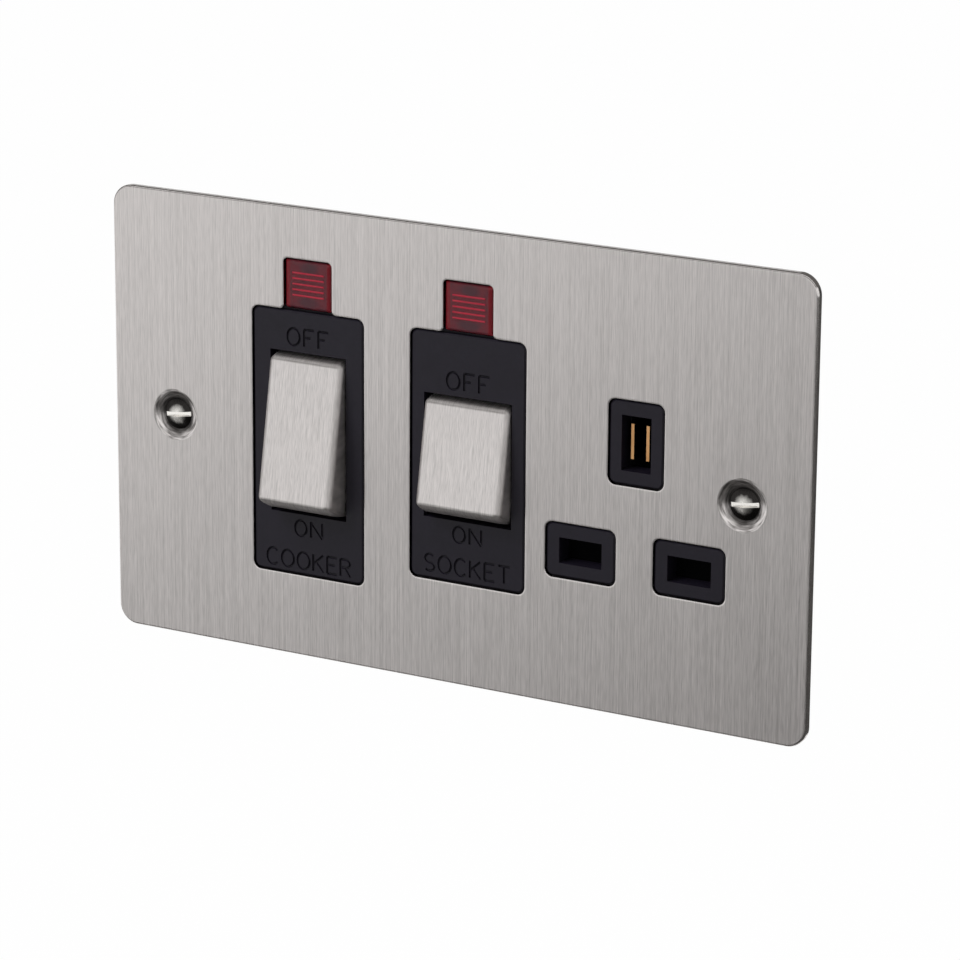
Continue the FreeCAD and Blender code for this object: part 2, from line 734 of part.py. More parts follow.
def clamp_screw(x, z):
    """Slotted screw that holds a cable in its terminal."""
    top = BLOCK_BACK + CLAMP_HEAD_H
    shank = rod("y", (x, z), CLAMP_R, CABLE_Y + CABLE_R + CLEAR, BLOCK_BACK)
    head = rod("y", (x, z), CLAMP_R + 0.7, BLOCK_BACK, top)
    slot = box(x - 2 * CLAMP_R, x + 2 * CLAMP_R, top - CLAMP_HEAD_H / 2, top + 1, z - 0.45, z + 0.45)
    return cut(join([shank, head]), [slot])


def supply_terminal(pole):
    """Mains terminal with the strip up to the cooker switch's knuckle."""
    x = COOKER.poles[pole]
    middle = block_x(COOKER, pole)
    block = terminal_block(middle, SUPPLY_Z[0], SUPPLY_Z[1], BLOCK_W, [middle])
    return join([block, strip(x, SUPPLY_Z[0] + HOUSE_WALL, PIVOT_Z + FEED_END), knuckle(x)])


def cooker_terminal(pole):
    """Cooker terminal with the strip down to its fixed contact."""
    x = COOKER.poles[pole]
    middle = block_x(COOKER, pole)
    block = terminal_block(middle, LOAD_Z[0], LOAD_Z[1], BLOCK_W, [middle])
    return join([block, strip(x, PIVOT_Z + TIP_ARM - STRIP_END, LOAD_Z[1] - HOUSE_WALL)])


def fixed_tip(x):
    """Silver tip on a fixed contact."""
    return rod("y", (x, PIVOT_Z + TIP_ARM), TIP_R, STRIP_FRONT - TIP_H, STRIP_FRONT)


LINK_TOP = PIVOT_Z - COOKER.swing_r - ROCKER_END_GAP
LINE_LINK_Z = (LINK_TOP - LINK_H, LINK_TOP)
NEUTRAL_LINK_Z = (LINE_LINK_Z[0] - LINK_GAP - LINK_H, LINE_LINK_Z[0] - LINK_GAP)


def line_link():
    """Bar from the line supply to the socket switch, bridged forward over the neutral strip."""
    low = STRIP_FRONT - LINK_T / 2
    high = low - LINK_BRIDGE
    over = COOKER.poles["neutral"]
    side = STRIP_W / 2 + LINK_SIDE
    path = [
        (COOKER.poles["line"] - STRIP_W / 2, low),
        (over - side, low),
        (over - side, high),
        (over + side, high),
        (over + side, low),
        (SOCKET.poles["line"] + STRIP_W / 2, low),
    ]
    return prism(ribbon(path, LINK_T), "z", LINE_LINK_Z[0], LINE_LINK_Z[1])


def neutral_link():
    """Flat bar from the neutral supply to the socket switch."""
    x0 = COOKER.poles["neutral"] - STRIP_W / 2
    x1 = SOCKET.poles["neutral"] + STRIP_W / 2
    return box(x0, x1, STRIP_FRONT - LINK_T, STRIP_FRONT, NEUTRAL_LINK_Z[0], NEUTRAL_LINK_Z[1])


def socket_feed(pole):
    """Strip under a link, up to the socket switch's knuckle."""
    x = SOCKET.poles[pole]
    low = LINE_LINK_Z[0] if pole == "line" else NEUTRAL_LINK_Z[0]
    return join([strip(x, low - CLEAR, PIVOT_Z + FEED_END), knuckle(x)])


SHUTTER_FRONT = SPLIT + SHUTTER_GAP
SHUTTER_BACK = SHUTTER_FRONT + SHUTTER_T
LEAF_FRONT = SHUTTER_BACK + 1.0
LEAF_BACK = PLATE_FRONT + LIVE_DEPTH


def socket_contact(pole):
    """Pin contact of the socket, with the strip from the switch's fixed contact."""
    start = SOCKET.poles[pole]
    pin = LINE_X if pole == "line" else NEUTRAL_X
    run = LINE_RUN_Z if pole == "line" else NEUTRAL_RUN_Z
    top = run[1] if pole == "line" else SOCKET.lamp_z + RESISTOR_R
    inner = LIVE_LEAF_GAP / 2 + LEAF_T / 2
    outer = LIVE_HOLE[1] / 2 + LEAF_T / 2
    path = [
        (LEAF_FRONT, LIVE_Z + outer),
        (LEAF_FRONT + LIVE_LEAF_LEAD, LIVE_Z + inner),
        (LEAF_BACK, LIVE_Z + inner),
        (LEAF_BACK, LIVE_Z - inner),
        (LEAF_FRONT + LIVE_LEAF_LEAD, LIVE_Z - inner),
        (LEAF_FRONT, LIVE_Z - outer),
    ]
    clip = prism(ribbon(path, LEAF_T), "x", pin - LIVE_LEAF_W / 2, pin + LIVE_LEAF_W / 2)
    pieces = [
        strip(start, PIVOT_Z + TIP_ARM - STRIP_END, top),
        box(start - STRIP_W / 2, pin + STRIP_W / 2, STRIP_FRONT, FLOOR, run[0], run[1]),
        strip(pin, LIVE_Z + inner, run[1]),
        clip,
    ]
    return join(pieces)


EARTH_BASE = PLATE_FRONT + EARTH_DEPTH
EARTH_LEAF_FRONT = PAD_FRONT + EARTH_LEAF_SINK


def earth_contact():
    """Two long leaves that grip the earth pin first, with a tail down to the earth terminal."""
    off = EARTH_LEAF_GAP / 2 + LEAF_T / 2
    z0 = EARTH_Z - EARTH_LEAF_H / 2 - EARTH_LEAF_DROP
    path = [
        (SOCKET_X - off, EARTH_LEAF_FRONT),
        (SOCKET_X - off, EARTH_BASE),
        (SOCKET_X + off, EARTH_BASE),
        (SOCKET_X + off, EARTH_LEAF_FRONT),
    ]
    leaves = prism(ribbon(path, LEAF_T), "z", z0, z0 + EARTH_LEAF_H)
    back = EARTH_BASE - LEAF_T / 2
    half = EARTH_TAIL_W / 2
    tail = box(SOCKET_X - half, SOCKET_X + half, back, back + LEAF_T, SUPPLY_Z[1], z0 + EARTH_LEAF_H)
    return join([leaves, tail])


EARTH_BLOCK_W = 2 * BLOCK_W
EARTH_CABLES = (SOCKET_X - BLOCK_W / 2, SOCKET_X + BLOCK_W / 2)


def earth_terminal():
    """Double terminal for the two earth conductors."""
    return terminal_block(SOCKET_X, SUPPLY_Z[0], SUPPLY_Z[1], EARTH_BLOCK_W, EARTH_CABLES)


STRAP_Z = (EARTH_STUD[1] - STRAP_W / 2, EARTH_STUD[1] + STRAP_W / 2)


def plate_earth_strap():
    """Strap from the earth terminal to a stud on the plate."""
    wall = HOUSE_RIGHT + CLEAR + STRAP_T / 2
    path = [
        (EARTH_STUD[0], SPLIT + STRAP_T / 2),
        (wall, SPLIT + STRAP_T / 2),
        (wall, CABLE_Y),
        (SOCKET_X + EARTH_BLOCK_W / 2, CABLE_Y),
    ]
    strap = prism(ribbon(path, STRAP_T), "z", STRAP_Z[0], STRAP_Z[1])
    eye = rod("y", EARTH_STUD, STUD_R + STRAP_W / 2, SPLIT, SPLIT + STRAP_T)
    return cut(join([strap, eye]), [rod("y", EARTH_STUD, STUD_R + CLEAR, SPLIT - 1, SPLIT + STRAP_T)])


BAR_HALF = LIVE_HOLE[1] / 2 + SHUTTER_LAP
BAR_Z = (LIVE_Z - BAR_HALF, LIVE_Z + BAR_HALF)
BAR_SIDE = LIVE_HOLE[0] / 2 + SHUTTER_SIDE_LAP
BAR_X = (NEUTRAL_X - BAR_SIDE, LINE_X + BAR_SIDE)
RAMP_W = EARTH_LEAF_GAP - 2 * RAMP_SIDE_GAP
RAMP_FOOT = EARTH_Z - EARTH_PIN_H / 2 - RAMP_SPARE


def shutter():
    """Bar that closes the line and neutral holes, with the ramp that the earth pin pushes down."""
    bar = box(BAR_X[0], BAR_X[1], SHUTTER_FRONT, SHUTTER_BACK, BAR_Z[0], BAR_Z[1])
    half = STEM_W / 2
    stem = box(SOCKET_X - half, SOCKET_X + half, SHUTTER_FRONT, SHUTTER_BACK, BAR_Z[1], RAMP_FOOT)
    rise = SHUTTER_TRAVEL + RAMP_SPARE
    ramp_front = SHUTTER_BACK + RAMP_SET_BACK
    ramp_back = ramp_front + rise + RAMP_TIP
    low = RAMP_FOOT - RAMP_SET_BACK
    section = [
        (SHUTTER_FRONT, low),
        (SHUTTER_FRONT, RAMP_FOOT),
        (ramp_front, RAMP_FOOT),
        (ramp_front + rise, RAMP_FOOT + rise),
        (ramp_back, RAMP_FOOT + rise),
        (ramp_back, low),
    ]
    ramp = prism(section, "x", SOCKET_X - RAMP_W / 2, SOCKET_X + RAMP_W / 2)
    return join([bar, stem, ramp])


SPRING_Y = SHUTTER_FRONT + SPRING_R + SPRING_WIRE_R
SPRING_FOOT = HOUSE_BOTTOM + 1.0


def shutter_spring():
    """Spring that lifts the shutter shut again."""
    spring = coil(SPRING_R, SPRING_WIRE_R, SPRING_FOOT, BAR_Z[0], SPRING_TURNS)
    spring.translate(V(SOCKET_X, SPRING_Y, 0))
    return spring


LAMP_Y = SPLIT + LAMP_SET_BACK
RESISTOR_Y = (LAMP_Y + LAMP_R, LAMP_Y + LAMP_R + RESISTOR_L)


def lead(start, pole, z, end):
    """Wire from a lamp's end, bent back to a point behind it."""
    path = [(start, LAMP_Y), (pole, LAMP_Y), (pole, end)]
    return prism(ribbon(path, LEAD_W), "z", z - LEAD_W / 2, z + LEAD_W / 2)


def neon_lamp(switch):
    """Glass neon lamp, drawn in at both ends, with its two wire leads."""
    z = switch.lamp_z
    end = LAMP_HALF - LAMP_SHOULDER
    pieces = [rod("x", (LAMP_Y, z), LAMP_R, switch.x - end, switch.x + end)]
    for side in (-1, 1):
        shoulder = V(switch.x + side * end, LAMP_Y, z)
        pieces.append(Part.makeCone(LAMP_R, LAMP_R / 3, LAMP_SHOULDER, shoulder, V(side, 0, 0)))
    inside = end / 2
    pieces.append(lead(switch.x - inside, switch.poles["line"], z, STRIP_FRONT))
    pieces.append(lead(switch.x + inside, switch.poles["neutral"], z, RESISTOR_Y[0]))
    return join(pieces)


def neon_resistor(switch):
    """Dropping resistor in the lamp's neutral lead."""
    x = switch.poles["neutral"]
    z = switch.lamp_z
    half = LEAD_W / 2
    body = rod("y", (x, z), RESISTOR_R, RESISTOR_Y[0], RESISTOR_Y[1])
    body = body.makeChamfer(half, edges_at(body, RESISTOR_Y[0]) + edges_at(body, RESISTOR_Y[1]))
    return join([body, box(x - half, x + half, RESISTOR_Y[1] - half, STRIP_FRONT, z - half, z + half)])


def fixing_screw(x):
    """Raised countersunk slotted screw that holds the unit to its wall box."""
    head_r = SEAT_R - CLEAR
    rim = PLATE_FRONT + DISH_DEPTH + CLEAR - RUN_GAP / 2
    neck_r = FIXING_SCREW_R - FIXING_NECK
    thread = PLATE_BACK + DISH_DEPTH + SEAT_R - FIXING_HOLE_R + CLEAR
    point = 0.4 * FIXING_SCREW_R
    top = V(0, rim - FIXING_HEAD_RISE, 0)
    crown = V(0.55 * head_r, rim - 0.7 * FIXING_HEAD_RISE, 0)
    outline = [
        V(head_r, rim, 0),
        V(neck_r, rim + head_r - neck_r, 0),
        V(neck_r, thread, 0),
        V(FIXING_SCREW_R, thread + FIXING_NECK, 0),
        V(FIXING_SCREW_R, FIXING_SCREW_END - point, 0),
        V(FIXING_SCREW_R - point, FIXING_SCREW_END, 0),
        V(0, FIXING_SCREW_END, 0),
        top,
    ]
    profile = [Part.Arc(top, crown, outline[0]).toShape()]
    profile += [Part.LineSegment(a, b).toShape() for a, b in zip(outline, outline[1:])]
    half = FIXING_SLOT_W / 2
    slot = box(x - 2 * head_r, x + 2 * head_r, rim - 2 * FIXING_HEAD_RISE, rim + CLEAR, -half, half)
    return cut(turned(profile, x, 0), [slot])


def housing_screw(x, z):
    """Screw from behind that holds the housing to the front moulding."""
    under = SPLIT + HOUSE_SCREW_GRIP
    top = under + HOUSE_SCREW_HEAD_H
    shank = rod("y", (x, z), HOUSE_SCREW_R, SPLIT - HOUSE_SCREW_BITE, under)
    head = rod("y", (x, z), HOUSE_SCREW_HEAD_R, under, top)
    long = 0.65 * HOUSE_SCREW_HEAD_R
    thin = 0.3
    middle = (under + top) / 2
    slots = [box(x - long, x + long, middle, top + 1, z - thin, z + thin)]
    slots.append(box(x - thin, x + thin, middle, top + 1, z - long, z + long))
    return cut(join([shank, head]), slots)


def plate_nut(x, z):
    """Hexagon nut on a plate stud."""
    under = SPLIT + (STRAP_T if (x, z) == EARTH_STUD else 0.0)
    points = []
    for i in range(6):
        turn = math.radians(60 * i + 30)
        points.append(V(x + NUT_R * math.cos(turn), under, z + NUT_R * math.sin(turn)))
    nut = Part.Face(Part.makePolygon(points + points[:1])).extrude(V(0, NUT_H, 0))
    return cut(nut, [rod("y", (x, z), STUD_R + RUN_GAP, under - 1, under + NUT_H + 1)])


def front_pockets():
    """Hollows moulded into the housing's front for the switches, the strips and the socket."""
    tools = []
    for switch in SWITCHES:
        low = HOUSE_BOTTOM + HOUSE_WALL if switch is COOKER else NEUTRAL_LINK_Z[0] - 1.0
        high = HOUSE_TOP - HOUSE_WALL if switch is COOKER else LINE_RUN_Z[1] + 0.6
        side = switch.chamber
        tools.append(box(switch.x - side, switch.x + side, SPLIT - 1, FLOOR, low, high))
        reach = switch.window_w / 2 + TRUNNION_LEN
        bearing = TRUNNION_R + RUN_GAP
        tools.append(rod("x", (PIVOT_Y, PIVOT_Z), bearing, switch.x - reach, switch.x + reach))
    left = COOKER.x + COOKER.chamber - 1
    right = SOCKET.x - SOCKET.chamber + 1
    low = NEUTRAL_LINK_Z[0] - 0.6
    tools.append(box(left, right, SPLIT - 1, STRIP_FRONT, low, LINE_LINK_Z[1] + 0.6))
    start = SOCKET.x + SOCKET.chamber - 1
    for run, pin in ((NEUTRAL_RUN_Z, NEUTRAL_X), (LINE_RUN_Z, LINE_X)):
        lane = pin + STRIP_W / 2 + 0.3
        tools.append(box(start, lane, SPLIT - 1, FLOOR, run[0] - 0.6, run[1] + 0.6))
        tools.append(box(pin - STRIP_W / 2 - 0.3, lane, SPLIT - 1, FLOOR, LIVE_Z, run[1] + 0.6))
        deep = LEAF_BACK + LEAF_T
        tall = LIVE_HOLE[1] / 2 + LEAF_T + 2 * CLEAR
        tools.append(box(pin - PIN_ROOM, pin + PIN_ROOM, SPLIT - 1, deep, LIVE_Z - tall, LIVE_Z + tall))
    tail = EARTH_BASE + LEAF_T
    wide = EARTH_TAIL_W / 2 + 2 * CLEAR
    high = EARTH_Z + EARTH_LEAF_H / 2 + 1.0
    tools.append(box(SOCKET_X - wide, SOCKET_X + wide, SPLIT - 1, tail, SUPPLY_Z[1] - 1, high))
    low = BAR_Z[0] - SHUTTER_TRAVEL - SPRING_WELL
    sides = (BAR_X[0] - SHUTTER_ROOM, BAR_X[1] + SHUTTER_ROOM)
    tools.append(box(*sides, SPLIT - 1, SHUTTER_BACK + SHUTTER_FLOOR, low, BAR_Z[1] + SHUTTER_ROOM))
    well = SPRING_R + SPRING_WELL
    top = BAR_Z[0] + SPRING_WELL
    spring = (SOCKET_X - well, SOCKET_X + well, SPLIT - 1, SPRING_Y + well, SPRING_FOOT, top)
    tools.append(box(*spring))
    return tools


def partitions():
    """Walls that part the two poles inside each switch."""
    walls = []
    for switch in SWITCHES:
        x0 = switch.x - PARTITION_T / 2
        z0 = PIVOT_Z - BLADE_DOWN - PARTITION_BELOW
        z1 = PIVOT_Z + BLADE_UP + PARTITION_ABOVE
        walls.append(box(x0, x0 + PARTITION_T, FLOOR - PARTITION_RISE, FLOOR + PARTITION_ROOT, z0, z1))
    return walls


def rear_pockets():
    """Terminal pockets, screw wells and weight-saving hollows in the housing's back."""
    tools = []
    for pole in ("line", "neutral"):
        x = block_x(COOKER, pole)
        w = BLOCK_W / 2 + CLEAR
        tools.append(box(x - w, x + w, FLOOR, HOUSE_BACK + 1, HOUSE_BOTTOM - 1, SUPPLY_Z[1] + CLEAR))
        tools.append(box(x - w, x + w, FLOOR, HOUSE_BACK + 1, LOAD_Z[0] - CLEAR, HOUSE_TOP + 1))
    w = EARTH_BLOCK_W / 2 + CLEAR
    sides = (SOCKET_X - w, SOCKET_X + w)
    tools.append(box(*sides, FLOOR, HOUSE_BACK + 1, HOUSE_BOTTOM - 1, SUPPLY_Z[1] + CLEAR))
    front = CABLE_Y - STRAP_T / 2 - CLEAR
    slot = (SOCKET_X + w - 1, HOUSE_RIGHT + 1, front, HOUSE_BACK + 1, STRAP_Z[0] - CLEAR, STRAP_Z[1] + CLEAR)
    tools.append(box(*slot))
    for p in HOUSE_SCREWS:
        tools.append(rod("y", p, HOUSE_SCREW_HEAD_R + CLEAR, SPLIT + HOUSE_SCREW_GRIP, HOUSE_BACK + 1))
        tools.append(rod("y", p, HOUSE_SCREW_R + CLEAR, SPLIT - 1, SPLIT + HOUSE_SCREW_GRIP + 1))
    wide = BLOCK_SPREAD + BLOCK_W / 2
    narrow = POLE + STRIP_W / 2 + CLEAR
    low = HOUSE_BOTTOM + CORE_EDGE
    high = HOUSE_TOP - CORE_EDGE
    lane = STRIP_W / 2 + CORE_EDGE
    zones = [
        (COOKER.x - wide, COOKER.x + wide, SUPPLY_Z[1] + CORE_FLOOR, PIVOT_Z - CORE_RIB / 2),
        (COOKER.x - wide, COOKER.x + wide, PIVOT_Z + CORE_RIB / 2, LOAD_Z[0] - CORE_FLOOR),
        (SOCKET.x - narrow, SOCKET.x + narrow, low, high),
        (NEUTRAL_X - lane, NEUTRAL_X + lane, LIVE_Z + PIN_ROOM + CORE_EDGE, high),
        (LINE_X - lane, LINE_X + lane, EARTH_Z, high),
    ]
    for x0, x1, z0, z1 in zones:
        for left, right in cells(x0, x1, CORE_W):
            for bottom, top in cells(z0, z1, CORE_L):
                tools.append(box(left, right, FLOOR + CORE_FLOOR, HOUSE_BACK + 1, bottom, top))
    tools += [rod("y", (x, 0), NOTCH_R, SPLIT - 1, HOUSE_BACK + 1) for x in FIXINGS]
    return tools


def rear_housing():
    """Moulded base that carries the switch gear, the socket contacts and the terminals."""
    outline = corners(HOUSE_LEFT, HOUSE_RIGHT, HOUSE_BOTTOM, HOUSE_TOP)
    block = slab(outline, [HOUSE_CORNER] * 4, SPLIT, HOUSE_BACK)
    block = cut(block, front_pockets())
    block = join([block] + partitions())
    return cut(block, rear_pockets())


def group(shapes):
    """Several like pieces kept as separate solids."""
    return Part.makeCompound(shapes)


os.makedirs("parts", exist_ok=True)

save("front_plate", front_plate())
save("plate_gasket", plate_gasket())
save("front_moulding", front_moulding())
save("rear_housing", rear_housing())
save("mounting_screws", group([fixing_screw(x) for x in FIXINGS]))
save("housing_screws", group([housing_screw(x, z) for x, z in HOUSE_SCREWS]))
save("plate_nuts", group([plate_nut(x, z) for x, z in STUDS]))

clamp_places = [(x, (SUPPLY_Z[0] + SUPPLY_Z[1]) / 2) for x in EARTH_CABLES]
for terminal_pole in ("line", "neutral"):
    save("supply_terminal_" + terminal_pole, supply_terminal(terminal_pole))
    save("cooker_terminal_" + terminal_pole, cooker_terminal(terminal_pole))
    save("socket_feed_" + terminal_pole, socket_feed(terminal_pole))
    save("socket_contact_" + terminal_pole, socket_contact(terminal_pole))
    clamp_places.append((block_x(COOKER, terminal_pole), (SUPPLY_Z[0] + SUPPLY_Z[1]) / 2))
    clamp_places.append((block_x(COOKER, terminal_pole), (LOAD_Z[0] + LOAD_Z[1]) / 2))
save("terminal_screws", group([clamp_screw(x, z) for x, z in clamp_places]))
save("line_link", line_link())
save("neutral_link", neutral_link())
save("earth_contact", earth_contact())
save("earth_terminal", earth_terminal())
save("plate_earth_strap", plate_earth_strap())
save("shutter", shutter())
save("shutter_spring", shutter_spring())

fixed_tips = []
for unit in SWITCHES:
    save(unit.name + "_neon_lens", lens(unit))
    save(unit.name + "_neon_lamp", neon_lamp(unit))
    save(unit.name + "_neon_resistor", neon_resistor(unit))
    save(unit.name + "_rocker_cap", rocker_cap(unit))
    save(unit.name + "_rocker_body", rocker_body(unit))
    for pole_name, pole_x in unit.poles.items():
        save(unit.name + "_plunger_" + pole_name, plunger(pole_x))
        save(unit.name + "_plunger_spring_" + pole_name, plunger_spring(pole_x))
        save(unit.name + "_moving_contact_" + pole_name, blade(pole_x))
        save(unit.name + "_moving_tip_" + pole_name, moving_tip(pole_x))
        fixed_tips.append(fixed_tip(pole_x))
save("fixed_tips", group(fixed_tips))
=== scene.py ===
"""Looks of a flat-plate cooker control unit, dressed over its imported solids."""

import json
import logging
import math
from dataclasses import dataclass, replace
from enum import Enum

import bmesh
import bpy
from bpy.types import Material, Mesh, Node, NodeSocket, NodeTree, Object, World
from mathutils import Matrix, Vector


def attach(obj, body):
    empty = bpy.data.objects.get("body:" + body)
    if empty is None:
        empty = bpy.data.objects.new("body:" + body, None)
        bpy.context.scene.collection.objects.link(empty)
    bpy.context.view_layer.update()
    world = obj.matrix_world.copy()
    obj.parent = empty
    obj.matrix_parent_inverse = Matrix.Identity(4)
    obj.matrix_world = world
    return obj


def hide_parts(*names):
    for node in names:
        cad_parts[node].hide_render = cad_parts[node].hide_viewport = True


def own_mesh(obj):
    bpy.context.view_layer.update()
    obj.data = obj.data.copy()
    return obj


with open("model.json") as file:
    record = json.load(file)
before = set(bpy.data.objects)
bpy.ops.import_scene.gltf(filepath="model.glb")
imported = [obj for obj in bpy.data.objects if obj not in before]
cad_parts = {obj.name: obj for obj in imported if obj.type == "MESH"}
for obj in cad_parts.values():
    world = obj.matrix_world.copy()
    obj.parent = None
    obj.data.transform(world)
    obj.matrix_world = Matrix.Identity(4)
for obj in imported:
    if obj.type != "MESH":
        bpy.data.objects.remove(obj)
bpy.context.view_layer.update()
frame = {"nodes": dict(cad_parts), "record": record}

LOG = logging.getLogger("cooker_unit")

Point = tuple[float, float]
Span = tuple[float, float]
Place = tuple[float, float, float]
Colour = tuple[float, float, float, float]
Value = Node | NodeSocket | Material | tuple[float, ...] | float | bool | str
Inputs = dict[str | int, Value]

# Metres in a millimetre: sizes here are millimetres, in the frame of the solids
MM = 0.001

# Where the fixing screws, the two switches and their lenses stand
SCREW_X = 60.3
COOKER_X = -30.6
SOCKET_X = 3.85
LENS_Z = 28.95

# Points that lie closer than this are one
MERGE = 1e-6

# Inputs of a Mix node by place: its share, its two values and its two tones
SHARE, VALUE_A, VALUE_B, TONE_A, TONE_B = 0, 2, 3, 6, 7

# Most values of a noise texture lie between these two
NOISE_BODY: Span = (0.3, 0.7)

WHITE = "#FFFFFF"


class Slot(Enum):
    """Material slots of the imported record."""

    STEEL = "brushed_steel"
    BLACK = "black_moulding"
    HOUSING = "housing_moulding"
    GASKET = "gasket"
    RED = "red_lens"
    NICKEL = "nickel"
    BRASS = "brass"
    COPPER = "copper"
    SILVER = "silver"
    SPRING = "spring_steel"
    ZINC = "zinc_steel"
    GLASS = "lamp_glass"
    RESISTOR = "resistor"
    NYLON = "white_nylon"


class Crease(Enum):
    """Degrees between faces past which an edge stays sharp, by how a piece is shaped."""

    THREAD = 20.0
    FORMED = 25.0
    TURNED = 28.0
    BEVELLED = 32.0
    ROUND = 40.0


class Axis(Enum):
    """Axis that a studio sheet stands square to."""

    X = 0
    Y = 1
    Z = 2


def linear(hex_colour: str) -> Colour:
    """Turn an sRGB hex colour into linear values, by the standard's own curve.

    Args:
        hex_colour: Colour as "#RRGGBB".

    Returns:
        Red, green, blue and an alpha of 1.
    """
    values = []
    for i in (1, 3, 5):
        c = int(hex_colour[i:i + 2], 16) / 255
        values.append(c / 12.92 if c <= 0.04045 else ((c + 0.055) / 1.055) ** 2.4)
    return (*values, 1.0)


def add(tree: NodeTree, kind: str, inputs: Inputs | None = None, **settings: str) -> Node:
    """Add a node, set its settings and fill or link its inputs.

    Args:
        tree: Tree that takes the node.
        kind: The node's type name.
        inputs: Input name or index, with a value, a hex colour, or a socket or node to link.
        **settings: Properties of the node.

    Returns:
        The new node.
    """
    made = tree.nodes.new(kind)
    for name, value in settings.items():
        setattr(made, name, value)
    for key, value in (inputs or {}).items():
        if isinstance(value, str):
            value = linear(value)
        if isinstance(value, Node):
            value = next(socket for socket in value.outputs if socket.enabled)
        if isinstance(value, NodeSocket):
            tree.links.new(value, made.inputs[key])
        else:
            made.inputs[key].default_value = value
    return made


def empty_tree(owner: Material | World) -> NodeTree:
    """Give a material or the world an empty node tree.

    Args:
        owner: Material or world.

    Returns:
        Its tree.
    """
    owner.use_nodes = True
    owner.node_tree.nodes.clear()
    return owner.node_tree


def from_screw(tree: NodeTree, axes: Node) -> tuple[Node, Node]:
    """Measure how far a point lies from the axis of the nearer fixing screw.

    Args:
        tree: A material's tree.
        axes: Node that gives X, Y and Z of the Object coordinates.

    Returns:
        The distance outwards along the plate, and the distance all round.
    """
    side = add(tree, "ShaderNodeMath", {0: axes.outputs["X"]}, operation="ABSOLUTE")
    out = add(tree, "ShaderNodeMath", {0: side, 1: SCREW_X * MM}, operation="SUBTRACT")
    flat = add(tree, "ShaderNodeCombineXYZ", {"X": out, "Z": axes.outputs["Z"]})
    return out, add(tree, "ShaderNodeVectorMath", {0: flat}, operation="LENGTH")


@dataclass(frozen=True)
class Finish:
    """A surface finish that makes its material on first use. Its sizes are millimetres."""

    name: str

    def material(self) -> Material:
        """Give the finish's material, made on first use.

        Returns:
            The material.
        """
        found = bpy.data.materials.get(self.name)
        if found is None:
            found = bpy.data.materials.new(self.name)
            tree = empty_tree(found)
            surface = add(tree, "ShaderNodeTexCoord")
            shader = add(tree, "ShaderNodeBsdfPrincipled", self.look(tree, surface))
            add(tree, "ShaderNodeOutputMaterial", {"Surface": shader})
        return found

    def look(self, tree: NodeTree, surface: Node) -> Inputs:
        """Work out the Principled shader's values and links.

        Args:
            tree: The material's tree.
            surface: Its coordinates node.

        Returns:
            What the shader takes.
        """
        raise NotImplementedError


